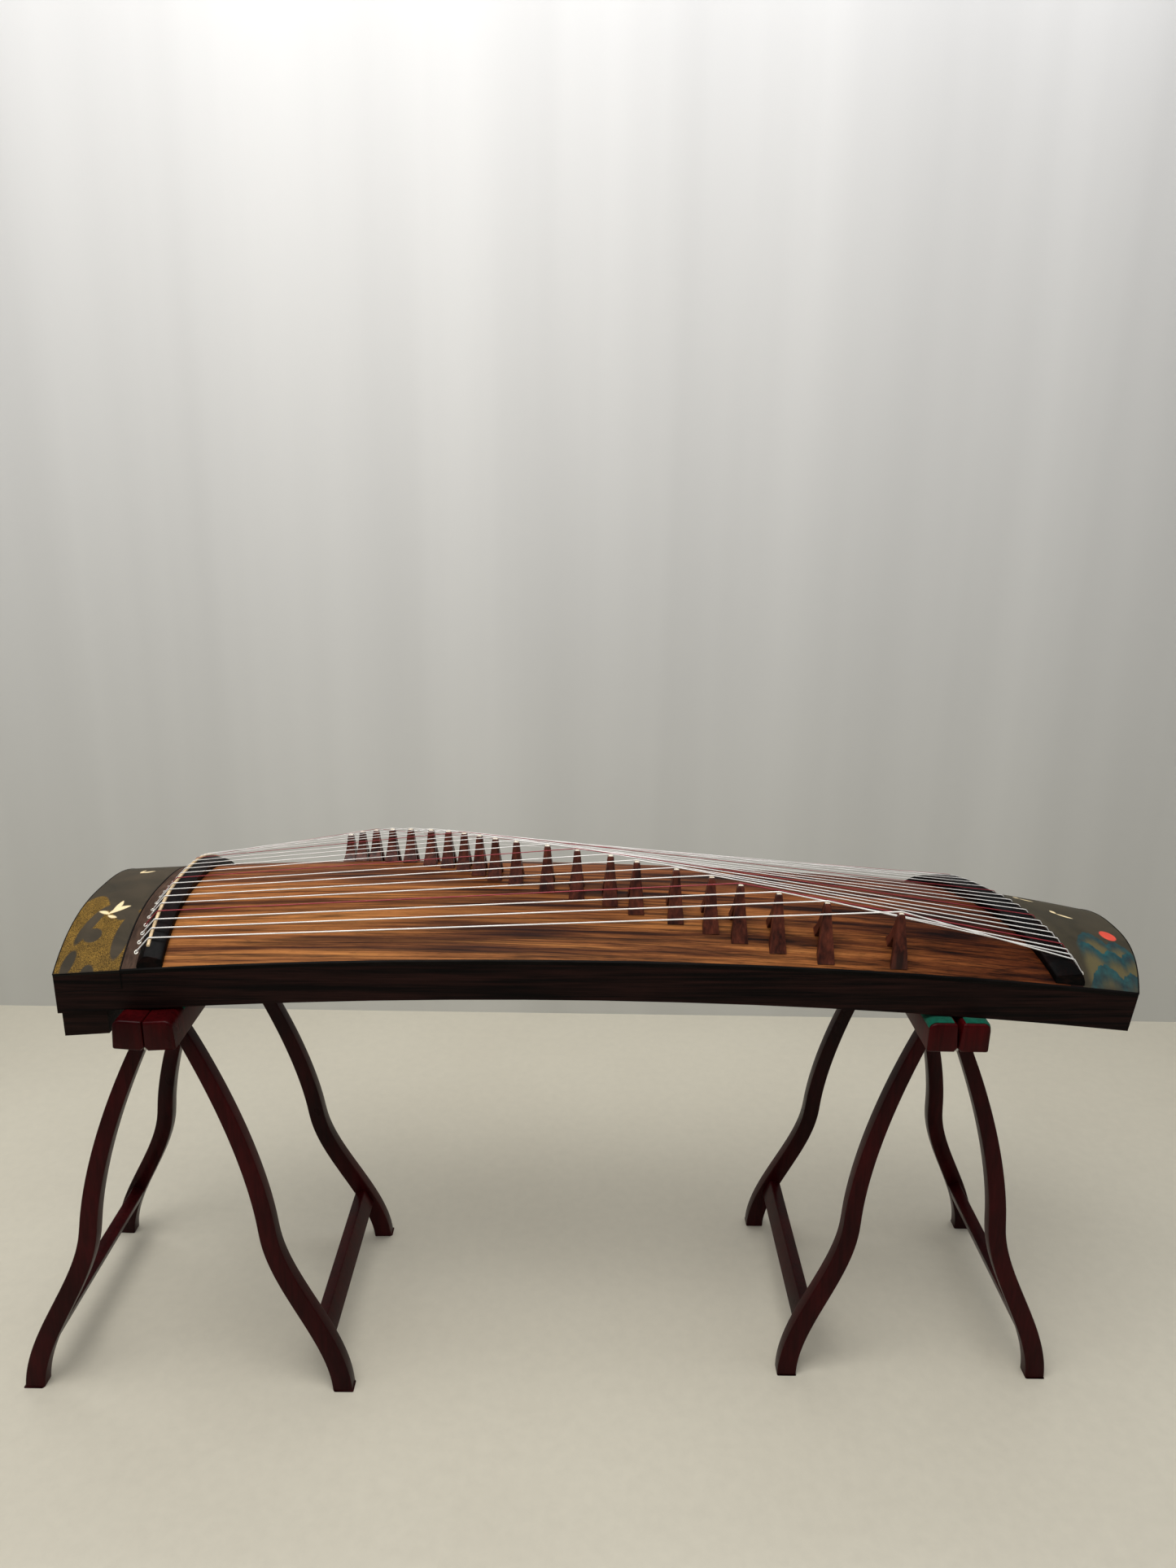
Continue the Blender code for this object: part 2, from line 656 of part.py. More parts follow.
def build_bridge(number):
    """An A-shaped bridge: two legs across the strings, a rounded crown under one string."""
    centre_x, centre_y = bridge_place(number)
    height = bridge_height(number)
    base = top_z(centre_x, centre_y)
    solid = bmesh.new()
    face = solid.faces.new

    def edge(share, y, thick):
        """Two vertices, towards the head and towards the tail."""
        y = max(y, BRIDGE_EDGE - half_width(centre_x))
        if share == 0.0:
            z = max(top_z(centre_x - thick, y), top_z(centre_x + thick, y)) + 0.0004
        else:
            z = base + height * share
        return [solid.verts.new((centre_x + q * thick, y, z)) for q in (-1, 1)]

    def wall(low, high):
        face((low[0], low[1], high[1], high[0]))

    levels = []
    for share, outer, inner in BRIDGE_LEVELS:
        thick = bridge_half_thick(number, share)
        reach = outer * BRIDGE_SPREAD
        level = {"front": edge(share, centre_y - reach, thick),
                 "rear": edge(share, centre_y + reach, thick)}
        if inner:
            gap = inner * BRIDGE_SPREAD
            level["in_front"] = edge(share, centre_y - gap, thick)
            level["in_rear"] = edge(share, centre_y + gap, thick)
        elif inner is not None:
            level["in_front"] = level["in_rear"] = edge(share, centre_y, thick)
        levels.append(level)

    legs = (("front", "in_front"), ("in_rear", "rear"))
    for low, high in zip(levels, levels[1:]):
        wall(low["front"], high["front"])
        wall(high["rear"], low["rear"])
        if "in_front" in high:
            wall(high["in_front"], low["in_front"])
            wall(low["in_rear"], high["in_rear"])
            for a, b in legs:
                for q in (0, 1):
                    face((low[a][q], low[b][q], high[b][q], high[a][q]))
        else:
            keys = ("front", "in_front", "rear") if "in_front" in low else ("front", "rear")
            for q in (0, 1):
                face([low[key][q] for key in keys] + [high["rear"][q], high["front"][q]])
    for a, b in legs:
        wall(levels[0][a], levels[0][b])
    wall(levels[-1]["front"], levels[-1]["rear"])
    bmesh.ops.recalc_face_normals(solid, faces=solid.faces)
    place(f"bridge_{number:02d}", solid, BRIDGE_WOOD, (centre_x, centre_y, base))


# ---------------------------------------------------------------- folding trestles
BEAM_HALF, BEAM_TALL, BEAM_ROUND = 0.0470, 0.048, 0.012
BEAM_PROUD = 0.022                   # beam end beyond the faces of the feet
BEAM_CHAMFER = 0.002                 # lower outer corner
HINGE_X, HINGE_Z = 0.0052, 0.0045    # recess around the hinge pin
INNER_GAP = 0.0004                   # beam's inner face from the pin axis
INNER_SLOPE = math.tan(math.radians(4.2))
PIN_ABOVE = 0.0015                   # hinge pin axis above the beam's underside
HINGE_R, HINGE_INSET = 0.0026, 0.006
LEG_TOP_WIDE, LEG_GROWS, LEG_THICK = 0.0190, 0.0135, 0.0245
LEG_SPLAY = 0.070                    # front and back legs lean together going up
STAND_DEPTH = 0.375                  # front face of front leg to front face of back leg
LEG_TOP_X, LEG_REACH, LEG_FLARE = 0.022, 0.0985, 0.0925
LEG_DRAWN = 0.6425                   # leg length for which the two depths below hold
LEG_BEND_END, LEG_FLARE_START = 0.36, 0.345
LEG_INTO_BEAM, LEG_SPARE = 0.016, 0.03  # extra length above the pin and below the floor
RAIL_Z, RAIL_WIDE, RAIL_TALL, RAIL_LEAN = 0.097, 0.0225, 0.036, math.radians(21)
RAIL_INWARD = 0.004                  # rail's centre inward of the leg's centre line


def leg_centre(depth, full):
    """Outward distance of the leg's centre line at a depth below the hinge pin."""
    scale = full / LEG_DRAWN
    bend = clamp(depth / (LEG_BEND_END * scale))
    start = LEG_FLARE_START * scale
    flare = smooth_step((depth - start) / (full - start))
    return LEG_TOP_X + LEG_REACH * (1 - (1 - bend) ** 1.65) + LEG_FLARE * flare


def leg_outline(full):
    """Side view of the leg, from inside the beam to below the floor."""
    inner, outer = [], []
    probe = 0.001
    for depth in steps(-LEG_INTO_BEAM, full, 18) + [full + LEG_SPARE]:
        x = leg_centre(min(depth, full), full)
        slope = 0.0
        if depth < full:
            slope = (leg_centre(min(depth + probe, full), full)
                     - leg_centre(depth - probe, full)) / (2 * probe)
        width = LEG_TOP_WIDE + LEG_GROWS * max(0.0, depth / full) ** 0.55
        across = width / 2 / math.hypot(1, slope)
        inner.append((x - across, -depth - across * slope))
        outer.append((x + across, -depth + across * slope))
    return inner + outer[::-1]


def beam_section():
    """Right-hand half of the beam, about the hinge pin."""
    lift = BEAM_TALL - PIN_ABOVE
    section = [(HINGE_X, -PIN_ABOVE), (BEAM_HALF - BEAM_CHAMFER, -PIN_ABOVE),
               (BEAM_HALF, -PIN_ABOVE + BEAM_CHAMFER)]
    for i in range(5):
        angle = math.pi / 2 * i / 4
        section.append((BEAM_HALF - BEAM_ROUND + BEAM_ROUND * math.cos(angle),
                        lift - BEAM_ROUND + BEAM_ROUND * math.sin(angle)))
    return section + [(INNER_GAP + z * INNER_SLOPE, z) for z in (lift, HINGE_Z)]


def build_frame(name, hinge, side, y_front, full, lean):
    """One folding frame: half of the beam, two bent legs and the rail between them.

    It is drawn for the right-hand (+X) side with the hinge pin as origin, turned by its
    opening angle, then mirrored when side is -1.
    """
    y_rear = y_front + STAND_DEPTH
    frame = loft([[(x, y, z) for x, z in beam_section()]
                  for y in (y_front - BEAM_PROUD, y_rear + LEG_THICK + BEAM_PROUD)])
    outline = leg_outline(full)
    legs = [loft([[(x, y + thick + splay * (z + full), z) for x, z in outline]
                  for thick in (0, LEG_THICK)])
            for y, splay in ((y_front, LEG_SPLAY), (y_rear, -LEG_SPLAY))]
    frame = combine(frame, joined(legs), "UNION")

    depth = full - RAIL_Z
    tuck = LEG_THICK / 2 + LEG_SPLAY * RAIL_Z
    rail = loft([cross_ring(x, y_front + tuck, y_rear + LEG_THICK - tuck,
                            -RAIL_TALL / 2, RAIL_TALL / 2)
                 for x in (-RAIL_WIDE / 2, RAIL_WIDE / 2)])
    rail_place = Matrix.Translation((leg_centre(depth, full) - RAIL_INWARD, 0, -depth))
    bmesh.ops.transform(rail, verts=rail.verts,
                        matrix=rail_place @ Matrix.Rotation(-RAIL_LEAN, 4, "Y"))
    frame = combine(frame, rail, "UNION")

    bmesh.ops.transform(frame, verts=frame.verts, matrix=Matrix.Rotation(-lean, 4, "Y"))
    if side < 0:
        bmesh.ops.scale(frame, verts=frame.verts, vec=(-1, 1, 1))
        bmesh.ops.reverse_faces(frame, faces=frame.faces)
    bmesh.ops.translate(frame, verts=frame.verts, vec=hinge)
    # the feet are sawn level with the floor
    everything = frame.verts[:] + frame.edges[:] + frame.faces[:]
    bmesh.ops.bisect_plane(frame, geom=everything, dist=1e-6, plane_co=(0, 0, 0),
                           plane_no=(0, 0, -1), clear_outer=True)
    rim = [edge for edge in frame.edges if edge.is_boundary]
    bmesh.ops.holes_fill(frame, edges=rim, sides=0)
    bmesh.ops.recalc_face_normals(frame, faces=frame.faces)
    place(name, frame, STAND_WOOD, hinge)


def build_stand(name, hinge_x, hinge_z, y_front, lean):
    """A trestle; each frame stands wider than flat by the angle lean."""
    # the leg is drawn long enough that, turned by its opening, the foot reaches the floor
    full = hinge_z
    for _ in range(6):
        full = (hinge_z + math.sin(lean) * leg_centre(full, full)) / math.cos(lean)
    hinge = (hinge_x, 0, hinge_z)
    overhang = BEAM_PROUD - HINGE_INSET
    pin = loft([[(hinge_x + HINGE_R * c, y, hinge_z + HINGE_R * s) for c, s in eight_directions()]
                for y in (y_front - overhang, y_front + STAND_DEPTH + LEG_THICK + overhang)])
    place(f"{name}_hinge_pin", pin, STEEL, hinge)
    build_frame(f"{name}_left_frame", hinge, -1, y_front, full, lean)
    build_frame(f"{name}_right_frame", hinge, 1, y_front, full, lean)


build_soundboard()
build_side("front_side_panel", -1)
build_side("rear_side_panel", 1)
build_bottom()
build_pin_block()
build_pins()
build_lid()
build_deck()
build_head_nut()
build_tail_nut()
build_tail_block()
build_strings()
for string_number in range(1, STRINGS + 1):
    build_bridge(string_number)
build_stand("head_stand", hinge_x=-0.6785, hinge_z=0.6502, y_front=-0.203,
            lean=math.radians(3.75))
build_stand("tail_stand", hinge_x=0.5405, hinge_z=0.6411, y_front=-0.158, lean=0.0)
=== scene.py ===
"""A 21-string zither lying on two folding trestles.

The body runs along X from the tuning head (-X) to the tail (+X). Its front side faces -Y,
+Z is up and the floor lies at z = 0. Shapes are worked out in the body's own axes, centred
in x and y, and make() moves them by SHIFT onto the loaded frame. String 1 is the rearmost.
Lengths are in metres.
"""
import math

import bmesh
import bpy
import numpy as np
from mathutils import Matrix, Vector


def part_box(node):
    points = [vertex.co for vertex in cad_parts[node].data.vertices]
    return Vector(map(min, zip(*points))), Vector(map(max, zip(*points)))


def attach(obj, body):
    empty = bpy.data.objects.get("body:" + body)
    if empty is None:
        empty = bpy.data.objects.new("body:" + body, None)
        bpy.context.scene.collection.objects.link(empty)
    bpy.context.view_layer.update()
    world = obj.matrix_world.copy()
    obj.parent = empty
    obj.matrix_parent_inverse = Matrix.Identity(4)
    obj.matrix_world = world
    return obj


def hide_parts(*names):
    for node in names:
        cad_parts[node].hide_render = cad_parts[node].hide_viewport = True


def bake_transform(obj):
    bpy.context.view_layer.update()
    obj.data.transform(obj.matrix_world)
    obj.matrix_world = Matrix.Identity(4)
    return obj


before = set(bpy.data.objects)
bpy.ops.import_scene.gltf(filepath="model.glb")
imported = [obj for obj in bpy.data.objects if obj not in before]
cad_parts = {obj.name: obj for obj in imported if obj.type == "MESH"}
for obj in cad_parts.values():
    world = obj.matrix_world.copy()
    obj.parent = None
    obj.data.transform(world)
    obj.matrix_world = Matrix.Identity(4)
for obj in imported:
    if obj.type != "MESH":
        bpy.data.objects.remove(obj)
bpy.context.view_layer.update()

# ---------------------------------------------------------------- sizes shared with the frame
GAP = 0.0003                                        # clearance between touching pieces
BODY_LENGTH = 1.630
BODY_END = BODY_LENGTH / 2
HEAD_WIDTH, TAIL_WIDTH = 0.3865, 0.3085
HEAD_HALF, TAIL_HALF = HEAD_WIDTH / 2, TAIL_WIDTH / 2
EDGE_HEIGHT, EDGE_FALL, EDGE_BOW, SIDE_HEIGHT = 0.7424, -0.0162, 0.0368, 0.0634
HEAD_CROWN, TAIL_CROWN, CROWN_POWER = 0.0638, 0.0729, 2.6
TAIL_DROP, DROP_X = 0.0232, 0.42                    # extra fall of the crown beyond DROP_X
TAIL_BOW, TAIL_BOW_POWER = 0.026, 2.2               # the tail end bulges outwards in plan
LID_X, LID_SIDE, HOLE_X, DECK_END_X = -0.7165, 0.0285, -0.6990, -0.6845
LID_LENGTH = LID_X + BODY_END

NUT_X0, NUT_X1, BONE_X, BONE_TOP = -0.6925, -0.6540, -0.6772, 0.0215
NUT_TOP, NUT_STEP, NUT_SWELL = 0.0185, 0.012, 0.20
CREST_X, CREST_SLANT = 0.6285, 0.63                 # the tail nut's crest slants in plan
CREST_CURL, CREST_CURL_Y = 1.95, 0.02               # and curls beyond this y
TAIL_HOLE, TAIL_SEAM = 0.0165, 0.016

STRINGS = 21
RED_STRINGS = (3, 8, 13, 18)
TREBLE_RADIUS, BASS_RADIUS = 0.00045, 0.00090
BASS_SCALE, SCALE_DROP = 1.22, 0.58                 # thickening, less towards the treble
HEAD_SPAN, HEAD_FIRST, HEAD_WAVE = 0.330, -0.1675, 0.16
TAIL_FIRST, TAIL_STEP, TAIL_GROW = -0.137, 0.1125, 0.1373

BRIDGE_LOW, BRIDGE_HIGH, BRIDGE_SPREAD = 0.059, 0.0715, 0.024
BRIDGE_FOOT, BRIDGE_FOOT_STEP, BRIDGE_NECK = 0.0215, 0.00025, 0.0105
LAST_LOW_BRIDGE, FIRST_HIGH_BRIDGE = 5, 16

PIN_ROWS_X = (-0.7440, -0.7680, -0.7920)
PIN_RADIUS, PIN_DEPTH, PIN_RISE = 0.0030, 0.016, 0.026

BEAM_HALF, BEAM_TALL, BEAM_ROUND, BEAM_PROUD = 0.0470, 0.048, 0.012, 0.022
PIN_ABOVE = 0.0015                                  # hinge pin centre above the beam's underside
INNER_SLOPE = math.tan(math.radians(4.2))
LEG_TOP_WIDE, LEG_GROWS, LEG_THICK, LEG_SPLAY = 0.0190, 0.0135, 0.0245, 0.070
STAND_DEPTH = 0.375
LEG_TOP_X, LEG_REACH, LEG_FLARE = 0.022, 0.0985, 0.0925
LEG_DRAWN, LEG_BEND_DEPTH, LEG_FLARE_DEPTH = 0.6425, 0.36, 0.345
RAIL_Z, RAIL_WIDE, RAIL_TALL, RAIL_LEAN = 0.097, 0.0225, 0.036, math.radians(21)
# hinge x, front leg y, opening angle, radius of the beam's inner edge, felt's front margin
STANDS = {
    "head": dict(x=-0.6785, front=-0.203, lean=math.radians(3.75), ease=0.0022, felt=0.052),
    "tail": dict(x=0.5405, front=-0.158, lean=0.0, ease=0.0050, felt=0.004),
}


def centre_of(node):
    low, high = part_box(node)
    return (low + high) / 2


# from the body's own axes to the frame's
SHIFT = np.array([centre_of("head_stand_hinge_pin").x - STANDS["head"]["x"],
                  centre_of("soundboard").y, 0.0])


# ---------------------------------------------------------------- surfaces of the body
def blend_of(start, stop, share):
    return start + (stop - start) * share


def smooth_step(start, stop, value):
    share = np.clip((value - start) / (stop - start), 0, 1)
    return share * share * (3 - 2 * share)


def half_width(x):
    return blend_of(HEAD_WIDTH, TAIL_WIDTH, x / BODY_LENGTH + 0.5) / 2


def edge_z(x):
    """Height of the top's long edges."""
    return EDGE_HEIGHT + EDGE_FALL * x + EDGE_BOW * (1 - (x / BODY_END) ** 2)


def crown(x):
    late = np.maximum(0.0, (x - DROP_X) / (BODY_END - DROP_X))
    return blend_of(HEAD_CROWN, TAIL_CROWN, x / BODY_LENGTH + 0.5) - TAIL_DROP * late * late


def top_z(x, y):
    share = np.minimum(1.0, np.abs(y) / half_width(x))
    return edge_z(x) + crown(x) * (1 - share ** CROWN_POWER)


def end_x(y):
    share = np.minimum(1.0, np.abs(y) / TAIL_HALF)
    return BODY_END + TAIL_BOW * (1 - share ** TAIL_BOW_POWER)


def crest_x(y):
    return CREST_X - CREST_SLANT * y + CREST_CURL * np.maximum(0.0, y - CREST_CURL_Y) ** 2


def string_share(number):
    """0 at the front bass string, 1 at the rear treble string."""
    return (STRINGS - number) / (STRINGS - 1)


def head_y(number):
    share = string_share(number)
    wave = HEAD_WAVE * math.sin(2 * math.pi * share) / (2 * math.pi)
    return HEAD_FIRST + HEAD_SPAN * (share - wave)


def tail_y(number):
    share = string_share(number)
    return TAIL_FIRST + TAIL_STEP * share + TAIL_GROW * share * share


def string_radius(number):
    share = string_share(number)
    return (BASS_SCALE - SCALE_DROP * share) * blend_of(BASS_RADIUS, TREBLE_RADIUS, share)


def bridge_x(number):
    return centre_of(f"bridge_{number:02d}").x - SHIFT[0]


def bridge_y(number):
    """Where the straight string from nut to nut crosses the bridge."""
    share = (bridge_x(number) - BONE_X) / (crest_x(tail_y(number)) - BONE_X)
    return blend_of(head_y(number), tail_y(number), share)


def bridge_height(number):
    share = smooth_step(LAST_LOW_BRIDGE, FIRST_HIGH_BRIDGE, number)
    return float(blend_of(BRIDGE_LOW, BRIDGE_HIGH, share))


# ---------------------------------------------------------------- material helpers
class NodeTree:
    """Makes nodes with their inputs and settings in one call."""

    def __init__(self, tree):
        self.tree = tree

    def put(self, socket, value):
        """Link another node's output, or set a plain value."""
        if isinstance(value, bpy.types.NodeSocket):
            self.tree.links.new(value, socket)
        elif isinstance(value, tuple) and len(value) == 3 and socket.type == "RGBA":
            socket.default_value = value + (1.0,)
        else:
            socket.default_value = value

    def node(self, kind, inputs=None, **settings):
        node = self.tree.nodes.new("ShaderNode" + kind)
        for name, value in settings.items():
            setattr(node, name, value)
        for key, value in (inputs or {}).items():
            self.put(node.inputs[key], value)
        return node

    def between(self, value, low, high, to_low=0.0, to_high=1.0):
        inputs = dict(enumerate((value, low, high, to_low, to_high)))
        return self.node("MapRange", inputs).outputs[0]


class Shader(NodeTree):
    """A material around one Principled surface; textures follow object coordinates."""

    def __init__(self, name):
        self.material = bpy.data.materials.new(name)
        self.material.use_nodes = True
        super().__init__(self.material.node_tree)
        self.tree.nodes.clear()
        self.output = self.node("OutputMaterial")
        self.surface = self.node("BsdfPrincipled")
        self.put(self.output.inputs["Surface"], self.surface.outputs["BSDF"])

    def coords(self, scale):
        position = self.node("TexCoord").outputs["Object"]
        return self.node("Mapping", {"Vector": position, "Scale": scale}).outputs[0]

    def noise(self, scale, detail=4.0, rough=0.55, distort=0.0):
        """Noise whose scale is one number, or one for each axis."""
        if not isinstance(scale, tuple):
            scale = (scale,) * 3
        inputs = {"Vector": self.coords(scale), "Scale": 1.0, "Detail": detail,
                  "Roughness": rough, "Distortion": distort}
        return self.node("TexNoise", inputs).outputs[0]

    def ramp(self, value, stops):
        """Colour ramp; each stop is (position, colour or grey level)."""
        node = self.node("ValToRGB", {0: value})
        elements = node.color_ramp.elements
        while len(elements) < len(stops):
            elements.new(0.5)
        for element, (position, colour) in zip(elements, stops):
            element.position = position
            element.color = (colour if isinstance(colour, tuple) else (colour,) * 3) + (1.0,)
        return node.outputs[0]

    def mix(self, share, start, stop, mode="MIX"):
        inputs = {0: share, 6: start, 7: stop}
        return self.node("Mix", inputs, data_type="RGBA", blend_type=mode).outputs[2]

    def tint(self, colour, by):
        return self.mix(1.0, colour, by, "MULTIPLY")

    def shade(self, colour, value, stops):
        """Multiply the colour by a ramp over the value."""
        return self.tint(colour, self.ramp(value, stops))

    def math(self, kind, first, second, clamp=False):
        inputs = {0: first, 1: second}
        return self.node("Math", inputs, operation=kind, use_clamp=clamp).outputs[0]

    def add_scaled(self, first, second, scale, clamp=False):
        return self.math("ADD", first, self.math("MULTIPLY", second, scale), clamp)

    def axis(self, index):
        position = self.node("TexCoord").outputs["Object"]
        return self.node("SeparateXYZ", {0: position}).outputs[index]

    def attribute(self, name):
        return self.node("Attribute", attribute_name=name).outputs["Fac"]

    def finish(self, bump, strength, distance, **surface):
        """Set the surface's inputs, with spaces written as underscores, and its bump."""
        for key, value in surface.items():
            self.put(self.surface.inputs[key.replace("_", " ")], value)
        inputs = {"Strength": strength, "Distance": distance, "Height": bump}
        self.put(self.surface.inputs["Normal"], self.node("Bump", inputs).outputs[0])
        return self.material


# ---------------------------------------------------------------- materials
def soundboard_wood():
    """Banded brown wood, redder to the rear and dimmer towards the tail."""
    shader = Shader("scorched_soundboard")
    wander = shader.noise((2.4, 16, 16), detail=2)
    band = shader.noise((1.5, 95, 40), detail=6, rough=0.62, distort=0.25)
    band = shader.add_scaled(band, shader.math("SUBTRACT", wander, 0.5), scale=0.55)
    fine = shader.noise((9, 620, 300), detail=3, rough=0.6)
    pore = shader.noise((55, 1500, 900), detail=2, rough=0.5)
    ring = shader.noise((1.1, 135, 60), detail=3, distort=0.15)
    wood = shader.ramp(band, [
        (0.32, (0.024, 0.006, 0.003)), (0.41, (0.100, 0.031, 0.009)),
        (0.50, (0.240, 0.085, 0.023)), (0.62, (0.390, 0.152, 0.040)),
        (0.80, (0.490, 0.215, 0.062))])
    wood = shader.shade(wood, ring, [(0.440, 1.0), (0.478, 0.42), (0.492, 0.40), (0.530, 1.06)])
    wood = shader.shade(wood, fine, [(0.30, 0.58), (0.62, 1.12)])
    wood = shader.shade(wood, pore, [(0.30, 0.55), (0.44, 1.0)])
    rear = shader.between(shader.axis(1), low=-0.15, high=0.11)
    tailward = shader.between(shader.axis(0), low=-0.10, high=0.75)
    red = shader.add_scaled(shader.math("MULTIPLY", rear, 0.80), tailward, scale=0.62, clamp=True)
    wood = shader.mix(red, wood, shader.tint(wood, (0.46, 0.27, 0.30)))
    dim = shader.between(shader.axis(0), low=0.22, high=0.72)
    wood = shader.mix(dim, wood, shader.tint(wood, (0.52, 0.42, 0.40)))
    return shader.finish(
        shader.add_scaled(band, pore, scale=0.5), strength=0.28, distance=0.0006,
        Base_Color=wood, Roughness=shader.ramp(fine, [(0.3, 0.56), (0.7, 0.42)]),
        Coat_Weight=0.0, Coat_Roughness=0.30, Specular_IOR_Level=0.07)


def streaked(name, dark, light, rough, along, coat=0.0, low=0.38, high=0.66, bump=0.25,
             specular=0.5):
    """Streaky grain; `along` is its frequency on each axis, low and high its ramp stops."""
    shader = Shader(name)
    grain = shader.noise(along, detail=5, rough=0.6, distort=0.2)
    fine = shader.noise(tuple(4 * value for value in along), detail=3, rough=0.6)
    wood = shader.ramp(grain, [(low, dark), (high, light)])
    wood = shader.shade(wood, fine, [(0.32, 0.68), (0.6, 1.1)])
    return shader.finish(
        shader.add_scaled(grain, fine, scale=0.4), strength=bump, distance=0.0005,
        Base_Color=wood, Roughness=shader.ramp(fine, [(0.3, rough + 0.10), (0.7, rough)]),
        Coat_Weight=coat, Coat_Roughness=0.12, Specular_IOR_Level=specular)


def lacquer(name, dark, light, rough):
    """Thick dark-red lacquer over wood: uneven tone, a soft ripple, and rubbed patches."""
    shader = Shader(name)
    tone = shader.noise((9, 9, 5), rough=0.6)
    grain = shader.noise((160, 160, 9), rough=0.6, distort=0.3)
    ripple = shader.noise((30, 30, 22), detail=3, rough=0.5)
    colour = shader.ramp(tone, [(0.34, dark), (0.68, light)])
    colour = shader.shade(colour, grain, [(0.30, 0.62), (0.62, 1.12)])
    patches = shader.noise((70, 70, 40), detail=6, rough=0.7)
    worn = shader.math("MULTIPLY", shader.ramp(patches, [(0.66, 0.0), (0.74, 1.0)]), 0.35)
    colour = shader.mix(worn, colour, (0.060, 0.012, 0.009))
    return shader.finish(
        shader.add_scaled(ripple, grain, scale=0.35), strength=0.22, distance=0.0009,
        Base_Color=colour, Roughness=shader.ramp(tone, [(0.3, rough), (0.7, rough + 0.14)]),
        Coat_Weight=0.03, Coat_Roughness=0.12, Specular_IOR_Level=0.07)


def painted(name, ground):
    """Clouded ground colour with motifs laid on by mesh attributes."""
    shader = Shader(name)
    cloud = shader.noise(16, detail=5, rough=0.6, distort=0.6)
    speck = shader.noise(650, detail=2, rough=0.6)
    soft = shader.noise(55, rough=0.6)
    colour = shader.shade(ground, cloud, [(0.30, (0.62, 0.66, 0.62)), (0.70, (1.32, 1.30, 1.24))])
    gold = shader.mix(shader.ramp(speck, [(0.38, 0.0), (0.60, 1.0)]),
                      (0.055, 0.030, 0.005), (0.215, 0.122, 0.020))
    gold = shader.shade(gold, soft, [(0.3, 0.62), (0.7, 1.15)])
    teal = shader.mix(shader.ramp(soft, [(0.35, 0.0), (0.65, 1.0)]),
                      (0.004, 0.030, 0.044), (0.012, 0.088, 0.095))
    red = shader.mix(soft, (0.50, 0.045, 0.028), (0.74, 0.105, 0.066))
    cream = shader.mix(speck, (0.62, 0.44, 0.20), (0.90, 0.78, 0.52))
    for mark, paint in (("gold", gold), ("teal", teal), ("glow", (0.23, 0.19, 0.075)),
                        ("red", red), ("cream", cream), ("border", (0.010, 0.008, 0.006))):
        colour = shader.mix(shader.attribute(mark), colour, paint)
    return shader.finish(
        shader.add_scaled(soft, speck, scale=0.4), strength=0.12, distance=0.0005,
        Base_Color=colour, Roughness=shader.ramp(cloud, [(0.3, 0.50), (0.7, 0.62)]),
        Coat_Weight=0.0, Coat_Roughness=0.35, Specular_IOR_Level=0.10)


def metal(name, colour, rough, metallic=1.0):
    shader = Shader(name)
    scratch = shader.noise((300, 300, 1800), detail=3, rough=0.6)
    tarnish = shader.noise(60, rough=0.6)
    return shader.finish(
        scratch, strength=0.15, distance=0.0002,
        Base_Color=shader.shade(colour, tarnish, [(0.3, 0.66), (0.65, 1.05)]),
        Roughness=shader.ramp(scratch, [(0.3, rough + 0.14), (0.7, rough)]), Metallic=metallic)


def wound(name, colour):
    """A string wrapped in fine thread: tight ribs across its length."""
    shader = Shader(name)
    ribs = shader.node("TexWave", {"Vector": shader.coords((1, 1, 1)), "Scale": 420.0,
                                   "Distortion": 0.6}, bands_direction="X")
    tone = shader.noise((30, 200, 200), detail=3, rough=0.6)
    return shader.finish(
        ribs.outputs["Fac"], strength=0.35, distance=0.0002,
        Base_Color=shader.shade(colour, tone, [(0.3, 0.80), (0.7, 1.05)]),
        Roughness=0.42, Metallic=0.15, Coat_Weight=0.2)


def felt():
    shader = Shader("green_felt")
    fibre = shader.noise(900, rough=0.7)
    clump = shader.noise(90, detail=3, rough=0.6)
    green = shader.mix(fibre, (0.000, 0.040, 0.024), (0.004, 0.135, 0.080))
    return shader.finish(
        shader.math("ADD", fibre, clump), strength=0.8, distance=0.0012,
        Base_Color=shader.shade(green, clump, [(0.3, 0.7), (0.7, 1.15)]), Roughness=0.95,
        Sheen_Weight=0.06, Sheen_Roughness=0.5, Specular_IOR_Level=0.05)


def floor_paint():
    shader = Shader("pale_floor")
    soft = shader.noise(1.2, rough=0.5)
    fine = shader.noise(45, rough=0.6)
    colour = shader.ramp(soft, [(0.3, (0.560, 0.520, 0.425)), (0.7, (0.610, 0.572, 0.470))])
    return shader.finish(
        fine, strength=0.05, distance=0.001,
        Base_Color=shader.shade(colour, fine, [(0.3, 0.965), (0.7, 1.02)]),
        Roughness=shader.ramp(fine, [(0.3, 0.50), (0.7, 0.62)]))


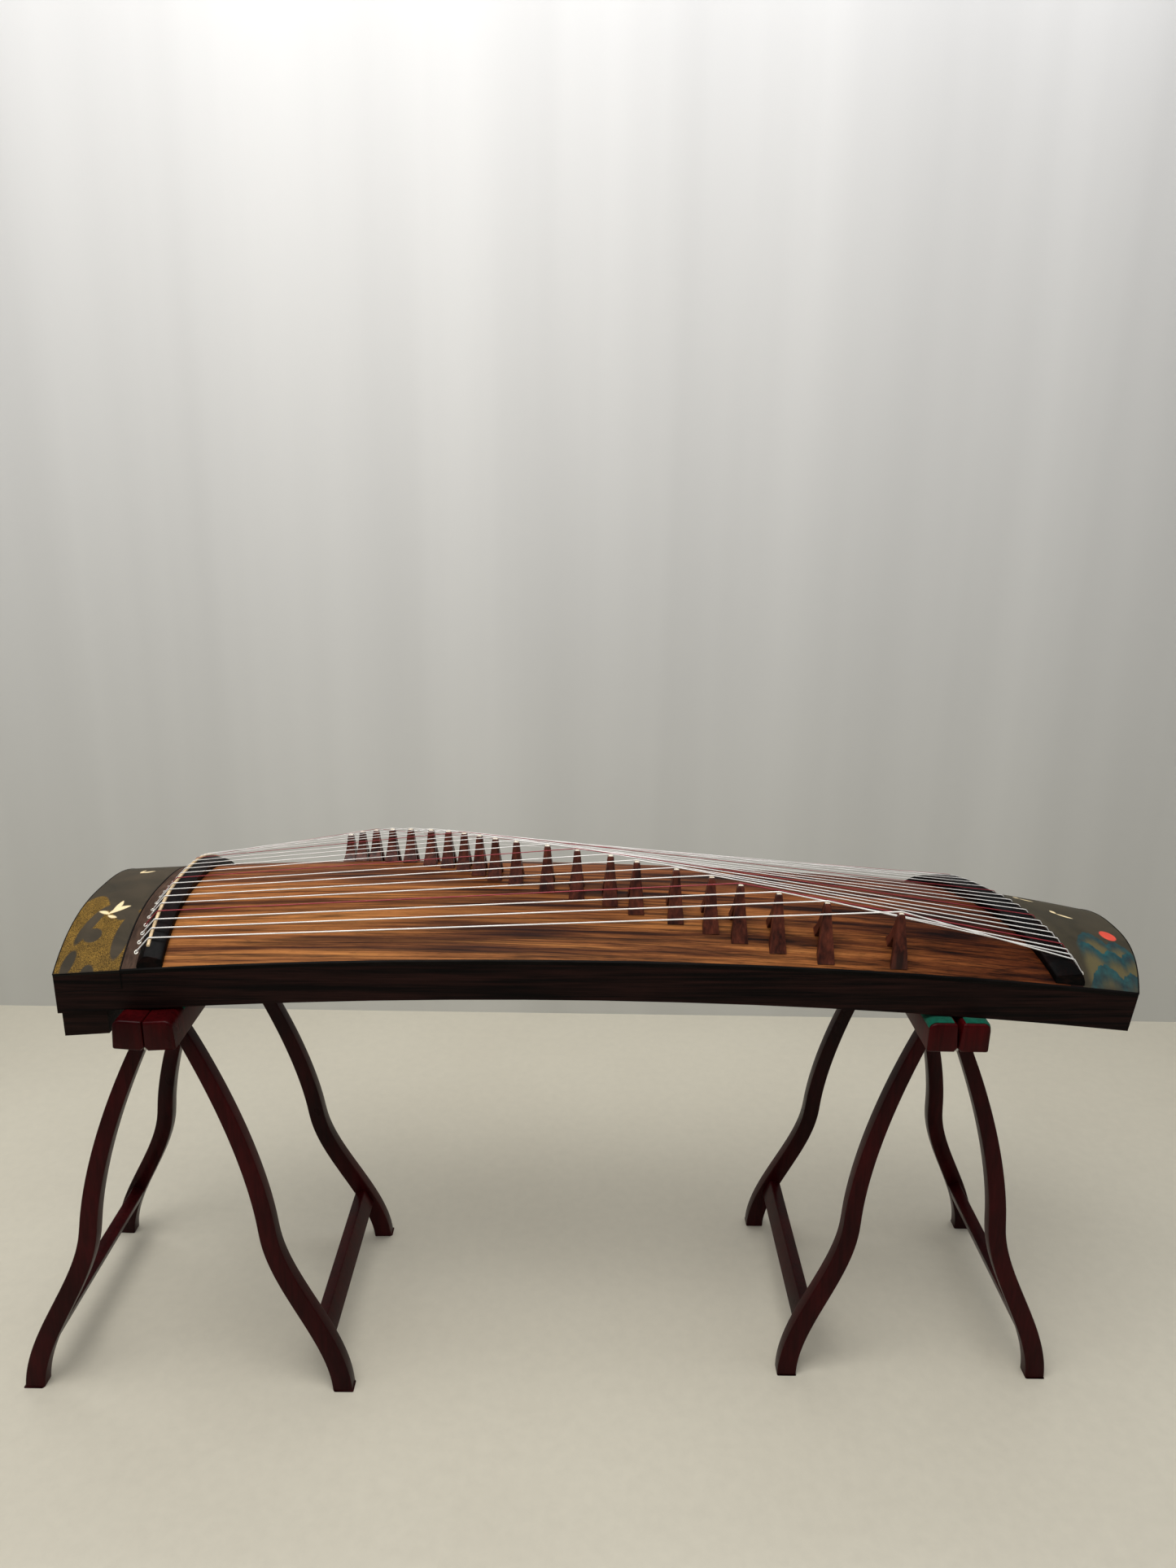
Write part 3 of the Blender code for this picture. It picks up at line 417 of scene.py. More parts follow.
def backdrop_cloth():
    """Pale cloth, lighter with height as painted light from above, with painted shade and light
    of soft folds; seen from behind it lets the view through.
    """
    shader = Shader("pale_backdrop")
    weave = shader.noise(500, detail=2, rough=0.5)
    # painted shade and light of soft folds in the cloth, in the colour only
    painted_fold_shade = shader.noise((3.0, 0.4, 0.10), detail=3, rough=0.5)
    # painted light: the cloth is paler and cooler towards the top, as if lit from above
    height = shader.between(shader.axis(2), low=0.1, high=2.6)
    colour = shader.mix(height, (0.56, 0.555, 0.515), (0.80, 0.80, 0.81))
    shader.finish(
        weave, strength=0.1, distance=0.001,
        Base_Color=shader.shade(colour, painted_fold_shade, [(0.32, 0.90), (0.66, 1.04)]),
        Roughness=0.9, Specular_IOR_Level=0.1)
    facing = shader.node("NewGeometry").outputs["Backfacing"]
    clear = shader.node("BsdfTransparent").outputs[0]
    choose = shader.node("MixShader", {0: facing, 1: shader.surface.outputs[0], 2: clear})
    shader.put(shader.output.inputs["Surface"], choose.outputs[0])
    return shader.material


SOUNDBOARD = soundboard_wood()
CASE = streaked("dark_case_wood", dark=(0.0026, 0.0014, 0.0013), light=(0.0190, 0.0066, 0.0052),
                rough=0.48, along=(1.6, 150, 150), specular=0.07)
BARE = streaked("bare_wood", dark=(0.10, 0.050, 0.022), light=(0.22, 0.125, 0.062),
                rough=0.62, along=(3, 90, 90))
BLOCK = streaked("head_block_wood", dark=(0.0030, 0.0016, 0.0014), light=(0.0180, 0.0070, 0.0052),
                 rough=0.50, along=(1.6, 130, 130), specular=0.07)
LID_PAINT = painted("painted_lid", ground=(0.044, 0.034, 0.023))
TAIL_PAINT = painted("painted_tail", ground=(0.044, 0.036, 0.024))
DECK = streaked("brown_deck", dark=(0.036, 0.019, 0.012), light=(0.078, 0.044, 0.028),
                rough=0.50, along=(60, 14, 14), specular=0.10)
EBONY = streaked("black_ebony", dark=(0.0020, 0.0016, 0.0016), light=(0.0130, 0.0044, 0.0034),
                 rough=0.32, along=(40, 5, 60), low=0.46, high=0.78, specular=0.05)
BINDING = streaked("black_binding", dark=(0.0012, 0.0010, 0.0009), light=(0.0050, 0.0036, 0.0030),
                   rough=0.45, along=(8, 60, 60), specular=0.06)
BONE = streaked("bone_strip", dark=(0.47, 0.33, 0.17), light=(0.66, 0.51, 0.31),
                rough=0.42, along=(25, 7, 60), coat=0.15, low=0.3, high=0.7, bump=0.1)
CAP = streaked("bridge_bone", dark=(0.62, 0.52, 0.38), light=(0.84, 0.77, 0.64),
               rough=0.38, along=(60, 60, 25), coat=0.2, low=0.3, high=0.7, bump=0.1)
BRIDGE = streaked("bridge_rosewood", dark=(0.022, 0.0050, 0.0036), light=(0.125, 0.030, 0.016),
                  rough=0.36, along=(70, 110, 7), coat=0.04, low=0.34, high=0.70, bump=0.2,
                  specular=0.2)
STAND = lacquer("red_lacquer", dark=(0.0120, 0.0010, 0.0014), light=(0.0380, 0.0024, 0.0030),
                rough=0.26)
BEAM = lacquer("beam_lacquer", dark=(0.020, 0.0008, 0.0012), light=(0.056, 0.0018, 0.0026),
               rough=0.24)
WHITE_STRING = wound("white_string", colour=(0.90, 0.88, 0.85))
RED_STRING = wound("red_string", colour=(0.30, 0.020, 0.032))
EYELET = metal("pale_eyelet", colour=(0.72, 0.68, 0.60), rough=0.30, metallic=0.6)
STEEL = metal("pin_steel", colour=(0.50, 0.49, 0.47), rough=0.26)
FELT = felt()


# ---------------------------------------------------------------- mesh helpers
def turn_faces_out(mesh):
    work = bmesh.new()
    work.from_mesh(mesh)
    bmesh.ops.recalc_face_normals(work, faces=work.faces)
    work.to_mesh(mesh)
    work.free()


def make(name, verts, faces, material, body=None, slot=None, sharp=38.0, replaces=(),
         outward=True):
    """An object from points in the body's axes; edges over `sharp` degrees stay crisp."""
    verts = np.asarray(verts, float).reshape(-1, 3) + SHIFT
    mesh = bpy.data.meshes.new(name)
    mesh.from_pydata(verts.tolist(), [], faces)
    mesh.update()
    obj = bpy.data.objects.new(name, mesh)
    bpy.context.scene.collection.objects.link(obj)
    mesh.materials.append(material)
    mesh.shade_smooth()
    mesh.set_sharp_from_angle(angle=math.radians(sharp))
    if body:
        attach(obj, body)
    if replaces:
        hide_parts(*replaces)
    if outward:
        turn_faces_out(mesh)
    return obj


def make_lofts(name, shells, material, body=None, slot=None, caps=True, **more):
    """One mesh of several tubes, each given as a list of rings of points."""
    verts, faces, start = [], [], 0
    for rings in shells:
        rings = np.asarray(rings, float)
        rows, sides = rings.shape[:2]
        shell = [(i * sides + j, i * sides + (j + 1) % sides,
                  (i + 1) * sides + (j + 1) % sides, (i + 1) * sides + j)
                 for i in range(rows - 1) for j in range(sides)]
        if caps:
            shell.append(tuple(range(sides))[::-1])
            shell.append(tuple((rows - 1) * sides + j for j in range(sides)))
        faces += [tuple(start + corner for corner in face) for face in shell]
        verts.append(rings.reshape(-1, 3))
        start += rows * sides
    return make(name, np.concatenate(verts), faces, material, body, slot, **more)


def make_loft(name, rings, material, body=None, slot=None, **more):
    return make_lofts(name, [rings], material, body, slot, **more)


def soften(obj, angle):
    bevel = obj.modifiers.new("soft_edges", "BEVEL")
    bevel.width = 0.0007
    bevel.segments = 2
    bevel.limit_method = "ANGLE"
    bevel.angle_limit = math.radians(angle)


def unit(vector):
    return vector / (np.linalg.norm(vector) or 1)


def turns(count, offset=0.0):
    """Angles evenly spaced round a full turn."""
    return [2 * math.pi * (k + offset) / count for k in range(count)]


def ring_round(centre, radius, side, normal, sides):
    return [centre + radius * (math.cos(angle) * side + math.sin(angle) * normal)
            for angle in turns(sides)]


def tube_rings(points, radius, sides=8):
    rings = []
    run = points[-1] - points[0]
    level_side = unit(np.array([-run[1], run[0], 0.0]))
    for i, point in enumerate(points):
        before = point - points[max(0, i - 1)]
        after = points[min(len(points) - 1, i + 1)] - point
        direction = unit(unit(before) + unit(after))
        side = unit(level_side - direction * level_side.dot(direction))
        rings.append(ring_round(point, radius, side, np.cross(side, direction), sides))
    return rings


def rounded(points, reach, count=4):
    """The path with each corner eased over the given reach."""
    points = [np.asarray(point, float) for point in points]
    out = [points[0]]
    for before, corner, after in zip(points, points[1:], points[2:]):
        length_in, length_out = np.linalg.norm(before - corner), np.linalg.norm(after - corner)
        ease = min(reach, 0.45 * length_in, 0.45 * length_out)
        start = corner + (before - corner) / length_in * ease
        stop = corner + (after - corner) / length_out * ease
        for k in range(count + 1):
            t = k / count
            out.append((1 - t) ** 2 * start + 2 * t * (1 - t) * corner + t * t * stop)
    out.append(points[-1])
    return out


def spaced(path, longest=0.05):
    """The path with long runs divided."""
    out = [path[0]]
    for stop in path[1:]:
        start = out[-1]
        count = max(1, int(math.ceil(np.linalg.norm(stop - start) / longest)))
        out += [start + (stop - start) * k / count for k in range(1, count + 1)]
    return out


def grid_faces(rows, columns):
    return [(i * columns + j, (i + 1) * columns + j,
             (i + 1) * columns + j + 1, i * columns + j + 1)
            for i in range(rows - 1) for j in range(columns - 1)]


def grid_rim(rows, columns):
    """Indices once round the grid's border."""
    return ([i * columns for i in range(rows)]
            + [(rows - 1) * columns + j for j in range(1, columns)]
            + [i * columns + columns - 1 for i in range(rows - 2, -1, -1)]
            + list(range(columns - 2, 0, -1)))


def skirt_faces(rim, lower):
    return list(zip(rim, rim[1:] + rim[:1], lower[1:] + lower[:1], lower))


SKIN_LIFT, SKIN_OVERHANG = 0.00025, 0.00015


def skin(name, x_from, x_to, across, along, drop, material, body, slot, marks=None):
    """A fine sheet lying on the arched top, its four edges turned down by `drop`."""
    width_share, length_share = np.meshgrid(
        np.linspace(-1, 1, across + 1), np.linspace(0, 1, along + 1), indexing="ij")
    y = width_share * half_width(0.0)
    for _ in range(12):    # x depends on y and y on x, so settle them by turns
        x = x_from(y) + (x_to(y) - x_from(y)) * length_share
        y = width_share * half_width(x)
    overhang = np.sign(width_share) * (np.abs(width_share) > 0.999) * SKIN_OVERHANG
    flat = np.stack([x, y + overhang, top_z(x, y) + SKIN_LIFT], -1).reshape(-1, 3)
    rim = grid_rim(across + 1, along + 1)
    turned_down = flat[rim].copy()
    turned_down[:, 2] -= drop
    lower = list(range(len(flat), len(flat) + len(rim)))
    faces = grid_faces(across + 1, along + 1) + skirt_faces(rim, lower)
    obj = make(name, np.concatenate([flat, turned_down]), faces, material, body, slot)
    if marks:
        for key, value in marks(x, y, width_share, length_share).items():
            value = value.reshape(-1)
            attribute = obj.data.attributes.new(key, "FLOAT", "POINT")
            values = np.concatenate([value, value[rim]]).astype(np.float32)
            attribute.data.foreach_set("value", values)


def edging(name, points, radius, body, slot):
    """A thin six-sided black line along the points."""
    points = [np.asarray(point, float) for point in points]
    rings = []
    for i, point in enumerate(points):
        direction = unit(points[min(len(points) - 1, i + 1)] - points[max(0, i - 1)])
        side = unit(np.cross(direction, np.array([0.0, 0.0, 1.0])))
        rings.append(ring_round(point, radius, side, np.cross(side, direction), 6))
    make_loft(name, rings, BINDING, body, slot, outward=False)


# ---------------------------------------------------------------- painted motifs
def turned(x, y, centre_x, centre_y, turn):
    """Coordinates about a centre, along and across a turned axis."""
    cos, sin = math.cos(turn), math.sin(turn)
    x, y = x - centre_x, y - centre_y
    return x * cos + y * sin, -x * sin + y * cos


def ellipse(x, y, centre_x, centre_y, radius_x, radius_y, turn=0.0, blur=0.0009):
    along, across = turned(x, y, centre_x, centre_y, turn)
    distance = np.sqrt((along / radius_x) ** 2 + (across / radius_y) ** 2) - 1
    return 1 - smooth_step(-blur, blur, distance * min(radius_x, radius_y))


def leaf(x, y, start_x, start_y, length, width, turn, curl):
    """A pointed leaf with a bent midrib."""
    along, across = turned(x, y, start_x, start_y, turn)
    share = along / length
    across = across - curl * length * (share * share - share)
    half = width / 2 * np.sin(np.pi * np.clip(share, 0, 1)) ** 0.8
    inside = 1 - smooth_step(-0.0007, 0.0007, np.abs(across) - half)
    return inside * ((share > 0) & (share < 1))


def leaves(x, y, rows):
    return np.maximum.reduce([leaf(x, y, *row) for row in rows])


# x from the head end, y as a share of the half width, radius in x, radius in y, turn
LID_DARKS = (
    (0.030, -0.60, 0.0085, 0.040, -0.30), (0.040, -0.72, 0.014, 0.012, 0.0),
    (0.018, -0.93, 0.0085, 0.018, -0.25), (0.050, -1.00, 0.010, 0.011, 0.0),
    (0.088, -0.70, 0.013, 0.042, -0.10), (0.060, -0.40, 0.020, 0.014, 0.4))
# leaves: start x, start y, length, width, turn, curl
LID_LEAVES = (
    (-0.7665, -0.098, 0.034, 0.0100, 0.55, -0.30), (-0.7620, -0.094, 0.030, 0.0085, 1.35, 0.25),
    (-0.7640, -0.099, 0.021, 0.0065, 2.75, 0.20), (-0.7660, -0.101, 0.017, 0.0055, -0.35, 0.15),
    (-0.7750, 0.052, 0.024, 0.0070, 0.35, 0.22), (-0.7740, 0.050, 0.019, 0.0055, 1.45, -0.25),
    (-0.7420, 0.126, 0.017, 0.0060, 0.20, 0.2))
TAIL_LEAVES = (
    (0.7420, 0.000, 0.028, 0.0060, -0.30, 0.15), (0.7430, 0.000, 0.012, 0.0085, 2.2, 0.1),
    (0.7000, 0.052, 0.025, 0.0050, -0.25, 0.12), (0.7010, 0.052, 0.011, 0.0075, 2.3, 0.1))
# hill lines on the tail: peaks as (x, y), roundness, depth of the teal, its strength
TAIL_HILLS = (
    (((0.7700, -0.0530), (0.8090, -0.0660)), 0.016, 0.030, 0.72),
    (((0.7560, -0.0800), (0.7930, -0.0900), (0.8260, -0.0860)), 0.016, 0.034, 0.86),
    (((0.7740, -0.1180), (0.8140, -0.1260)), 0.020, 0.040, 0.74))


def lid_marks(x, y, across, along):
    """A wavy gold front part with dark blots, cream leaves and a dark border."""
    wave = -0.40 + 0.16 * np.sin(6.2 * along + 0.4) - 0.30 * np.maximum(0, along - 0.62)
    gold = 1 - smooth_step(-0.008, 0.008, across - wave)
    dark = np.maximum.reduce([ellipse(x, y, from_head - BODY_END, share * HEAD_HALF, *rest)
                              for from_head, share, *rest in LID_DARKS])
    near = np.minimum(np.minimum(along, 1 - along) * LID_LENGTH, (1 - np.abs(across)) * HEAD_HALF)
    none = np.zeros_like(x)
    return {"gold": gold * (1 - dark), "teal": none, "glow": none, "red": none,
            "cream": leaves(x, y, LID_LEAVES), "border": 1 - smooth_step(0.0006, 0.0014, near)}


def hill_line(x, peaks, roundness):
    line = np.full_like(x, -1.0)
    for peak_x, peak_y in peaks:
        away = np.abs(x - peak_x)
        line = np.maximum(line, peak_y - away * away / (2 * roundness) - 0.25 * away)
    return line + 0.0011 * np.sin(x * 520.0) + 0.0007 * np.sin(x * 1130.0 + 1.0)


def tail_marks(x, y, across, along):
    """Three ranges of teal hills at the front, a red disc behind them, and leaves."""
    teal = np.zeros_like(x)
    glow = np.zeros_like(x)
    for peaks, roundness, deep, weight in TAIL_HILLS:
        under = hill_line(x, peaks, roundness) - y
        inside = smooth_step(-0.0006, 0.0006, under)
        teal = teal * (1 - inside) + inside * weight * (1 - smooth_step(0.0, deep, under))
        glow = glow * (1 - inside) + inside * 0.30 * smooth_step(deep * 0.35, deep, under)
    span = smooth_step(0.738, 0.750, x) * (1 - smooth_step(0.826, 0.836, x))
    red = ellipse(x, y, 0.8075, -0.0500, radius_x=0.0130, radius_y=0.0130)
    red = red * (1 - smooth_step(-0.0006, 0.0006, hill_line(x, *TAIL_HILLS[0][:2]) - y))
    near = np.minimum(end_x(y) - x, (1 - np.abs(across)) * TAIL_HALF)
    return {"gold": np.zeros_like(x), "teal": teal * span,
            "glow": glow * span * smooth_step(0.0, 0.010, TAIL_HALF + y), "red": red,
            "cream": leaves(x, y, TAIL_LEAVES), "border": 1 - smooth_step(0.0007, 0.0015, near)}


# ---------------------------------------------------------------- frame pieces kept as they are
FRAME_PAINT = [(f"tuning_pin_{number:02d}", STEEL, "steel") for number in range(1, STRINGS + 1)]
FRAME_PAINT += [
    ("soundboard", SOUNDBOARD, "soundboard"),
    ("front_side_panel", CASE, "case_wood"),
    ("rear_side_panel", CASE, "case_wood"),
    ("bottom_board", BARE, "bare_wood"),
    ("pin_block", BLOCK, "case_wood"),
    ("head_lid", CASE, "painted_panel"),
    ("head_deck", CASE, "deck_wood"),
    ("tail_block", CASE, "painted_panel"),
    ("head_stand_hinge_pin", STEEL, "steel"),
    ("tail_stand_hinge_pin", STEEL, "steel"),
]
for node_name, material, slot in FRAME_PAINT:
    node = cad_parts[node_name]
    node.data.materials.clear()
    node.data.materials.append(material)


# ---------------------------------------------------------------- faces of the top
skin("soundboard_face", lambda y: DECK_END_X + 0.001, lambda y: crest_x(y) - TAIL_SEAM - 0.0006,
     across=96, along=220, drop=0.0040, material=SOUNDBOARD, body="instrument", slot="soundboard")
skin("lid_face", lambda y: -BODY_END - 0.0001, lambda y: LID_X + 0.0001,
     across=420, along=108, drop=0.0030, material=LID_PAINT, body="head_lid",
     slot="painted_panel", marks=lid_marks)
skin("deck_face", lambda y: LID_X + 0.0011, lambda y: DECK_END_X - 0.0002,
     across=96, along=8, drop=0.0030, material=DECK, body="instrument", slot="deck_wood")
skin("tail_face", lambda y: crest_x(y) + 0.0035, lambda y: end_x(y) + 0.0001,
     across=330, along=200, drop=0.0030, material=TAIL_PAINT, body="instrument",
     slot="painted_panel", marks=tail_marks)


# ---------------------------------------------------------------- bindings and seam lines
# inset from the side, drop below the top's edge; no drop means just above the arched top
TOP_BINDING = ((0.0020, 0.0052), (-0.0003, 0.0052), (-0.0005, 0.0040), (-0.0005, 0.0),
               (-0.0001, None), (0.0018, None))
POST_CORNERS = ((-0.0009, -0.0006), (0.0009, -0.0006), (0.0009, 0.0006), (-0.0009, 0.0006))


def along_edge(x_start, x_stop, sign, inset=0.0, drop=0.0):
    return [(x, sign * (half_width(x) - inset), edge_z(x) - drop)
            for x in np.linspace(x_start, x_stop, 12)]


def over_top(x_at, y_start, count, lift=0.0):
    """Points across the arched top, from y_start to the opposite side."""
    return [(x_at(y), y, top_z(x_at(y), y) + lift) for y in np.linspace(y_start, -y_start, count)]


def top_binding(side, sign):
    rings = []
    for x in np.linspace(LID_X + 0.0012, BODY_END - 0.0003, 70):
        ring = []
        for inset, drop in TOP_BINDING:
            y = sign * (half_width(x) - inset)
            ring.append((x, y, top_z(x, y) + 0.0006 if drop is None else edge_z(x) - drop))
        rings.append(ring)
    make_loft(f"{side}_top_binding", rings, BINDING, "instrument", "case_wood", sharp=30)


def seam_post(side, sign):
    """A short upright strip at the end of the lid's seam."""
    x, y = LID_X + 0.0006, sign * half_width(LID_X)
    rings = [[(x + dx, y + dy, edge_z(LID_X) - drop) for dx, dy in POST_CORNERS]
             for drop in (0.0006, LID_SIDE * 0.5, LID_SIDE)]
    make_loft(f"{side}_seam_post", rings, BINDING, "instrument", "case_wood", sharp=30)


for sign, side in ((-1, "front"), (1, "rear")):
    top_binding(side, sign)
    shadow = along_edge(-BODY_END + 0.001, LID_X + 0.0008, sign, inset=0.0003,
                        drop=LID_SIDE + 0.0002)
    edging(f"{side}_lid_shadow_line", shadow, 0.0006, "instrument", "case_wood")
    seam_post(side, sign)

lid_half = half_width(LID_X)
edging("deck_seam_line", over_top(lambda y: LID_X + 0.0010, -lid_half, 90, lift=0.0001),
       0.0009, "instrument", "deck_wood")
edging("tail_end_binding", over_top(end_x, -TAIL_HALF, 90), 0.0010, "instrument", "case_wood")
lid_loop = (over_top(lambda y: -BODY_END, -HEAD_HALF, 70)
            + along_edge(-BODY_END + 0.004, LID_X - 0.004, 1)
            + over_top(lambda y: LID_X, lid_half, 70)
            + along_edge(LID_X - 0.004, -BODY_END + 0.004, -1))
edging("lid_border", lid_loop + lid_loop[:1], 0.0008, "head_lid", "painted_panel")


# ---------------------------------------------------------------- nuts
BONE_OFFSET = BONE_X - NUT_X0
NUT_WIDTH = NUT_X1 - NUT_X0
# profiles: x from the ridge's own line, height above the top
HEAD_NUT = (
    (0, 0), (0, 0.0040), (0.0030, 0.0085), (0.0075, 0.0135),
    (BONE_OFFSET - 0.0040, NUT_TOP - 0.0006), (BONE_OFFSET + 0.0030, NUT_TOP - 0.0004),
    (0.0205, NUT_TOP - 0.0012), (0.0300, NUT_STEP + 0.0026),
    (NUT_WIDTH - 0.0025, NUT_STEP + 0.0002), (NUT_WIDTH, NUT_STEP - 0.0022), (NUT_WIDTH, 0))
BONE_RIDGE = (
    (-0.0024, NUT_TOP - 0.0032), (0.0024, NUT_TOP - 0.0032), (0.0025, BONE_TOP - 0.0014),
    (0.0014, BONE_TOP - 0.0003), (-0.0014, BONE_TOP - 0.0003), (-0.0025, BONE_TOP - 0.0014))
TAIL_NUT = (
    (-0.0395, 0), (-0.0395, NUT_STEP - 0.0022), (-0.0375, NUT_STEP), (-0.0220, NUT_STEP + 0.0030),
    (-0.0060, NUT_TOP - 0.0010), (-0.0015, NUT_TOP - 0.0001), (0.0013, NUT_TOP - 0.0006),
    (0.0040, 0.0125), (0.0062, 0.0065), (0.0062, 0))


def ridge(name, profile, x_at, reach, count, margin, material, slot, replaces, swell=0.0):
    """A profile swept across the top, out to `reach` of the half width on each side."""
    rings = []
    for share in np.linspace(-reach, reach, count):
        ring = []
        for dx, height in profile:
            y = 0.0
            for _ in range(6):
                y = share * half_width(x_at(y) + dx)
            x = x_at(y) + dx
            z = top_z(x, y) + margin + height * (1 + swell * (1 - share * share))
            ring.append((x, y, z))
        rings.append(ring)
    obj = make_loft(name, rings, material, "instrument", slot, sharp=28, replaces=(replaces,))
    soften(obj, angle=30)


ridge("head_nut_body", HEAD_NUT, lambda y: NUT_X0, reach=0.991, count=90, margin=GAP,
      material=EBONY, slot="ebony", replaces="head_nut")
bone_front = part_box("head_nut_bone")[0].y - SHIFT[1]
ridge("bone_ridge", BONE_RIDGE, lambda y: BONE_X,
      reach=min(0.995, abs(bone_front) / half_width(BONE_X)), count=72, margin=GAP,
      material=BONE, slot="bone", replaces="head_nut_bone")
ridge("tail_nut_body", TAIL_NUT, crest_x, reach=0.980, count=72, margin=0.0005,
      material=EBONY, slot="ebony", replaces="tail_nut", swell=NUT_SWELL)


# ---------------------------------------------------------------- eyelets
EYELET_RADIUS, EYELET_WIRE, HOLE_SHADE_RADIUS, HOLE_SHADE_DEPTH = 0.0025, 0.0007, 0.0021, 0.0008


def eyelets(name, places):
    """A pale ring round a dark disc of painted shade for the hole's inside at each place, tilted
    to the top's slope.
    """
    rims, hole_shades = [], []
    step = 0.003
    for x, y in places:
        slope_x = (top_z(x + step, y) - top_z(x - step, y)) / (2 * step)
        slope_y = (top_z(x, y + step) - top_z(x, y - step)) / (2 * step)

        def on_slope(angle, radius, lift):
            dx, dy = radius * math.cos(angle), radius * math.sin(angle)
            return x + dx, y + dy, top_z(x, y) + 0.0002 + dx * slope_x + dy * slope_y + lift

        rings = [[on_slope(angle, EYELET_RADIUS + EYELET_WIRE * math.cos(around),
                           EYELET_WIRE * math.sin(around) + 0.0002) for around in turns(8)]
                 for angle in turns(18)]
        rims.append(rings + rings[:1])
        # dark discs of painted shade where the holes' insides would be
        hole_shades.append([[on_slope(angle, HOLE_SHADE_RADIUS, lift) for angle in turns(14)]
                        for lift in (0.00025 - HOLE_SHADE_DEPTH, 0.00025)])
    make_lofts(name, rims, EYELET, "instrument", "string", caps=False, outward=False)
    # the black discs are painted shade standing in for the holes
    make_lofts(name + "_hollows", hole_shades, BINDING, "instrument", "deck_wood", outward=False)


eyelets("deck_eyelets", [(HOLE_X, head_y(number)) for number in range(1, STRINGS + 1)])
eyelets("tail_eyelets", [(crest_x(tail_y(number)) + TAIL_HOLE, tail_y(number))
                         for number in range(1, STRINGS + 1)])


# ---------------------------------------------------------------- bridges
# share of the height, half spread, half gap between the feet (both in BRIDGE_SPREADs)
BRIDGE_OUTLINE = (
    (0.0, 1.0, 0.46), (0.12, 0.87, 0.36), (0.32, 0.63, 0.18), (0.46, 0.50, 0.0),
    (0.70, 0.315, 0.0), (0.90, 0.205, 0.0), (0.97, 0.15, 0.0), (1.0, 0.08, 0.0))
OUTLINE_LEVELS, OUTLINE_SPREADS, OUTLINE_GAPS = zip(*BRIDGE_OUTLINE)
WOOD_LEVELS = sorted({0.0, 0.05, 0.46, 0.90, 0.925, 0.945, 0.960, 0.970, 0.979}
                     | {round(0.06 * k, 3) for k in range(1, 15)})
CAP_LEVELS = (0.978, 0.984, 0.989, 0.994, 0.998, 1.0)
FOOT_FOLLOW = 0.25      # below this share of the height the feet follow the arched top
HEAD_ROUND = 0.91       # above this share the head rounds off


def bridge_mesh(number, levels, grow=0.0):
    """Vertices and faces of a two-footed bridge between the given levels."""
    middle_x, middle_y = bridge_x(number), bridge_y(number)
    foot = (BRIDGE_FOOT + BRIDGE_FOOT_STEP * (number - 1)) / 2
    neck = BRIDGE_NECK / 2
    peak = top_z(middle_x, middle_y) + bridge_height(number)
    limit = 0.004 - half_width(middle_x)    # keeps the front foot on the body
    verts, faces, rows = [], [], []

    def ground(y):
        return max(top_z(middle_x + dx, y) for dx in (-foot, 0.0, foot)) + 0.0005

    front_y, back_y = max(middle_y - BRIDGE_SPREAD, limit), middle_y + BRIDGE_SPREAD
    front_ground, back_ground = ground(front_y), ground(back_y)

    def pair(level, y, thick):
        """The two points either side of the bridge's middle plane."""
        low = blend_of(front_ground, back_ground, (y - front_y) / (back_y - front_y))
        z = low + (peak - low) * level
        if level < FOOT_FOLLOW:
            z += (ground(y) - low) * (1 - level / FOOT_FOLLOW)
        verts.extend((middle_x + q * (thick + grow), y, z) for q in (-1, 1))
        return len(verts) - 2, len(verts) - 1

    for level in levels:
        spread = np.interp(level, OUTLINE_LEVELS, OUTLINE_SPREADS)
        gap = np.interp(level, OUTLINE_LEVELS, OUTLINE_GAPS)
        forked = gap > 1e-6
        if level > HEAD_ROUND:
            thick = neck * math.sqrt(max(0.03, 1 - ((level - HEAD_ROUND) / 0.093) ** 2))
            spread *= 1 - 0.45 * ((level - HEAD_ROUND) / 0.09) ** 2
        else:
            thick = neck + (foot - neck) * (1 - level / 0.92) ** 1.15
        reach = spread * BRIDGE_SPREAD + grow
        inner_y = max(middle_y - gap * BRIDGE_SPREAD, limit + 0.004) if forked else middle_y
        row = {"forked": forked,
               "front": pair(level, max(middle_y - reach, limit), thick),
               "front_inner": pair(level, inner_y, thick),
               "back": pair(level, middle_y + reach, thick)}
        row["back_inner"] = (pair(level, middle_y + gap * BRIDGE_SPREAD, thick) if forked
                             else row["front_inner"])
        rows.append(row)
    halves = (("front", "front_inner"), ("back_inner", "back"))
    for low, high in zip(rows, rows[1:]):
        for q in (0, 1):
            for start, stop in halves:
                faces.append((low[start][q], low[stop][q], high[stop][q], high[start][q]))
        for edge in ("front", "back") + (("front_inner", "back_inner") if low["forked"] else ()):
            faces.append((*low[edge], *high[edge][::-1]))
    for row in (rows[0], rows[-1]):
        for start, stop in halves:
            faces.append((*row[start], *row[stop][::-1]))
    return verts, faces


for number in range(1, STRINGS + 1):
    name = f"bridge_{number:02d}"
    wood = make(f"{name}_wood", *bridge_mesh(number, WOOD_LEVELS), BRIDGE, name, "bridge_wood",
                replaces=(name,))
    soften(wood, angle=38)
    make(f"{name}_cap", *bridge_mesh(number, CAP_LEVELS, grow=0.0002), CAP, name, "bone")


# ---------------------------------------------------------------- strings
def string_colour(number):
    return RED_STRING if number in RED_STRINGS else WHITE_STRING


def pin_place(number):
    """Centre of a tuning pin where it enters its block."""
    x = PIN_ROWS_X[(number - 1) % 3]
    return x, head_y(number), edge_z(x) - LID_SIDE - GAP


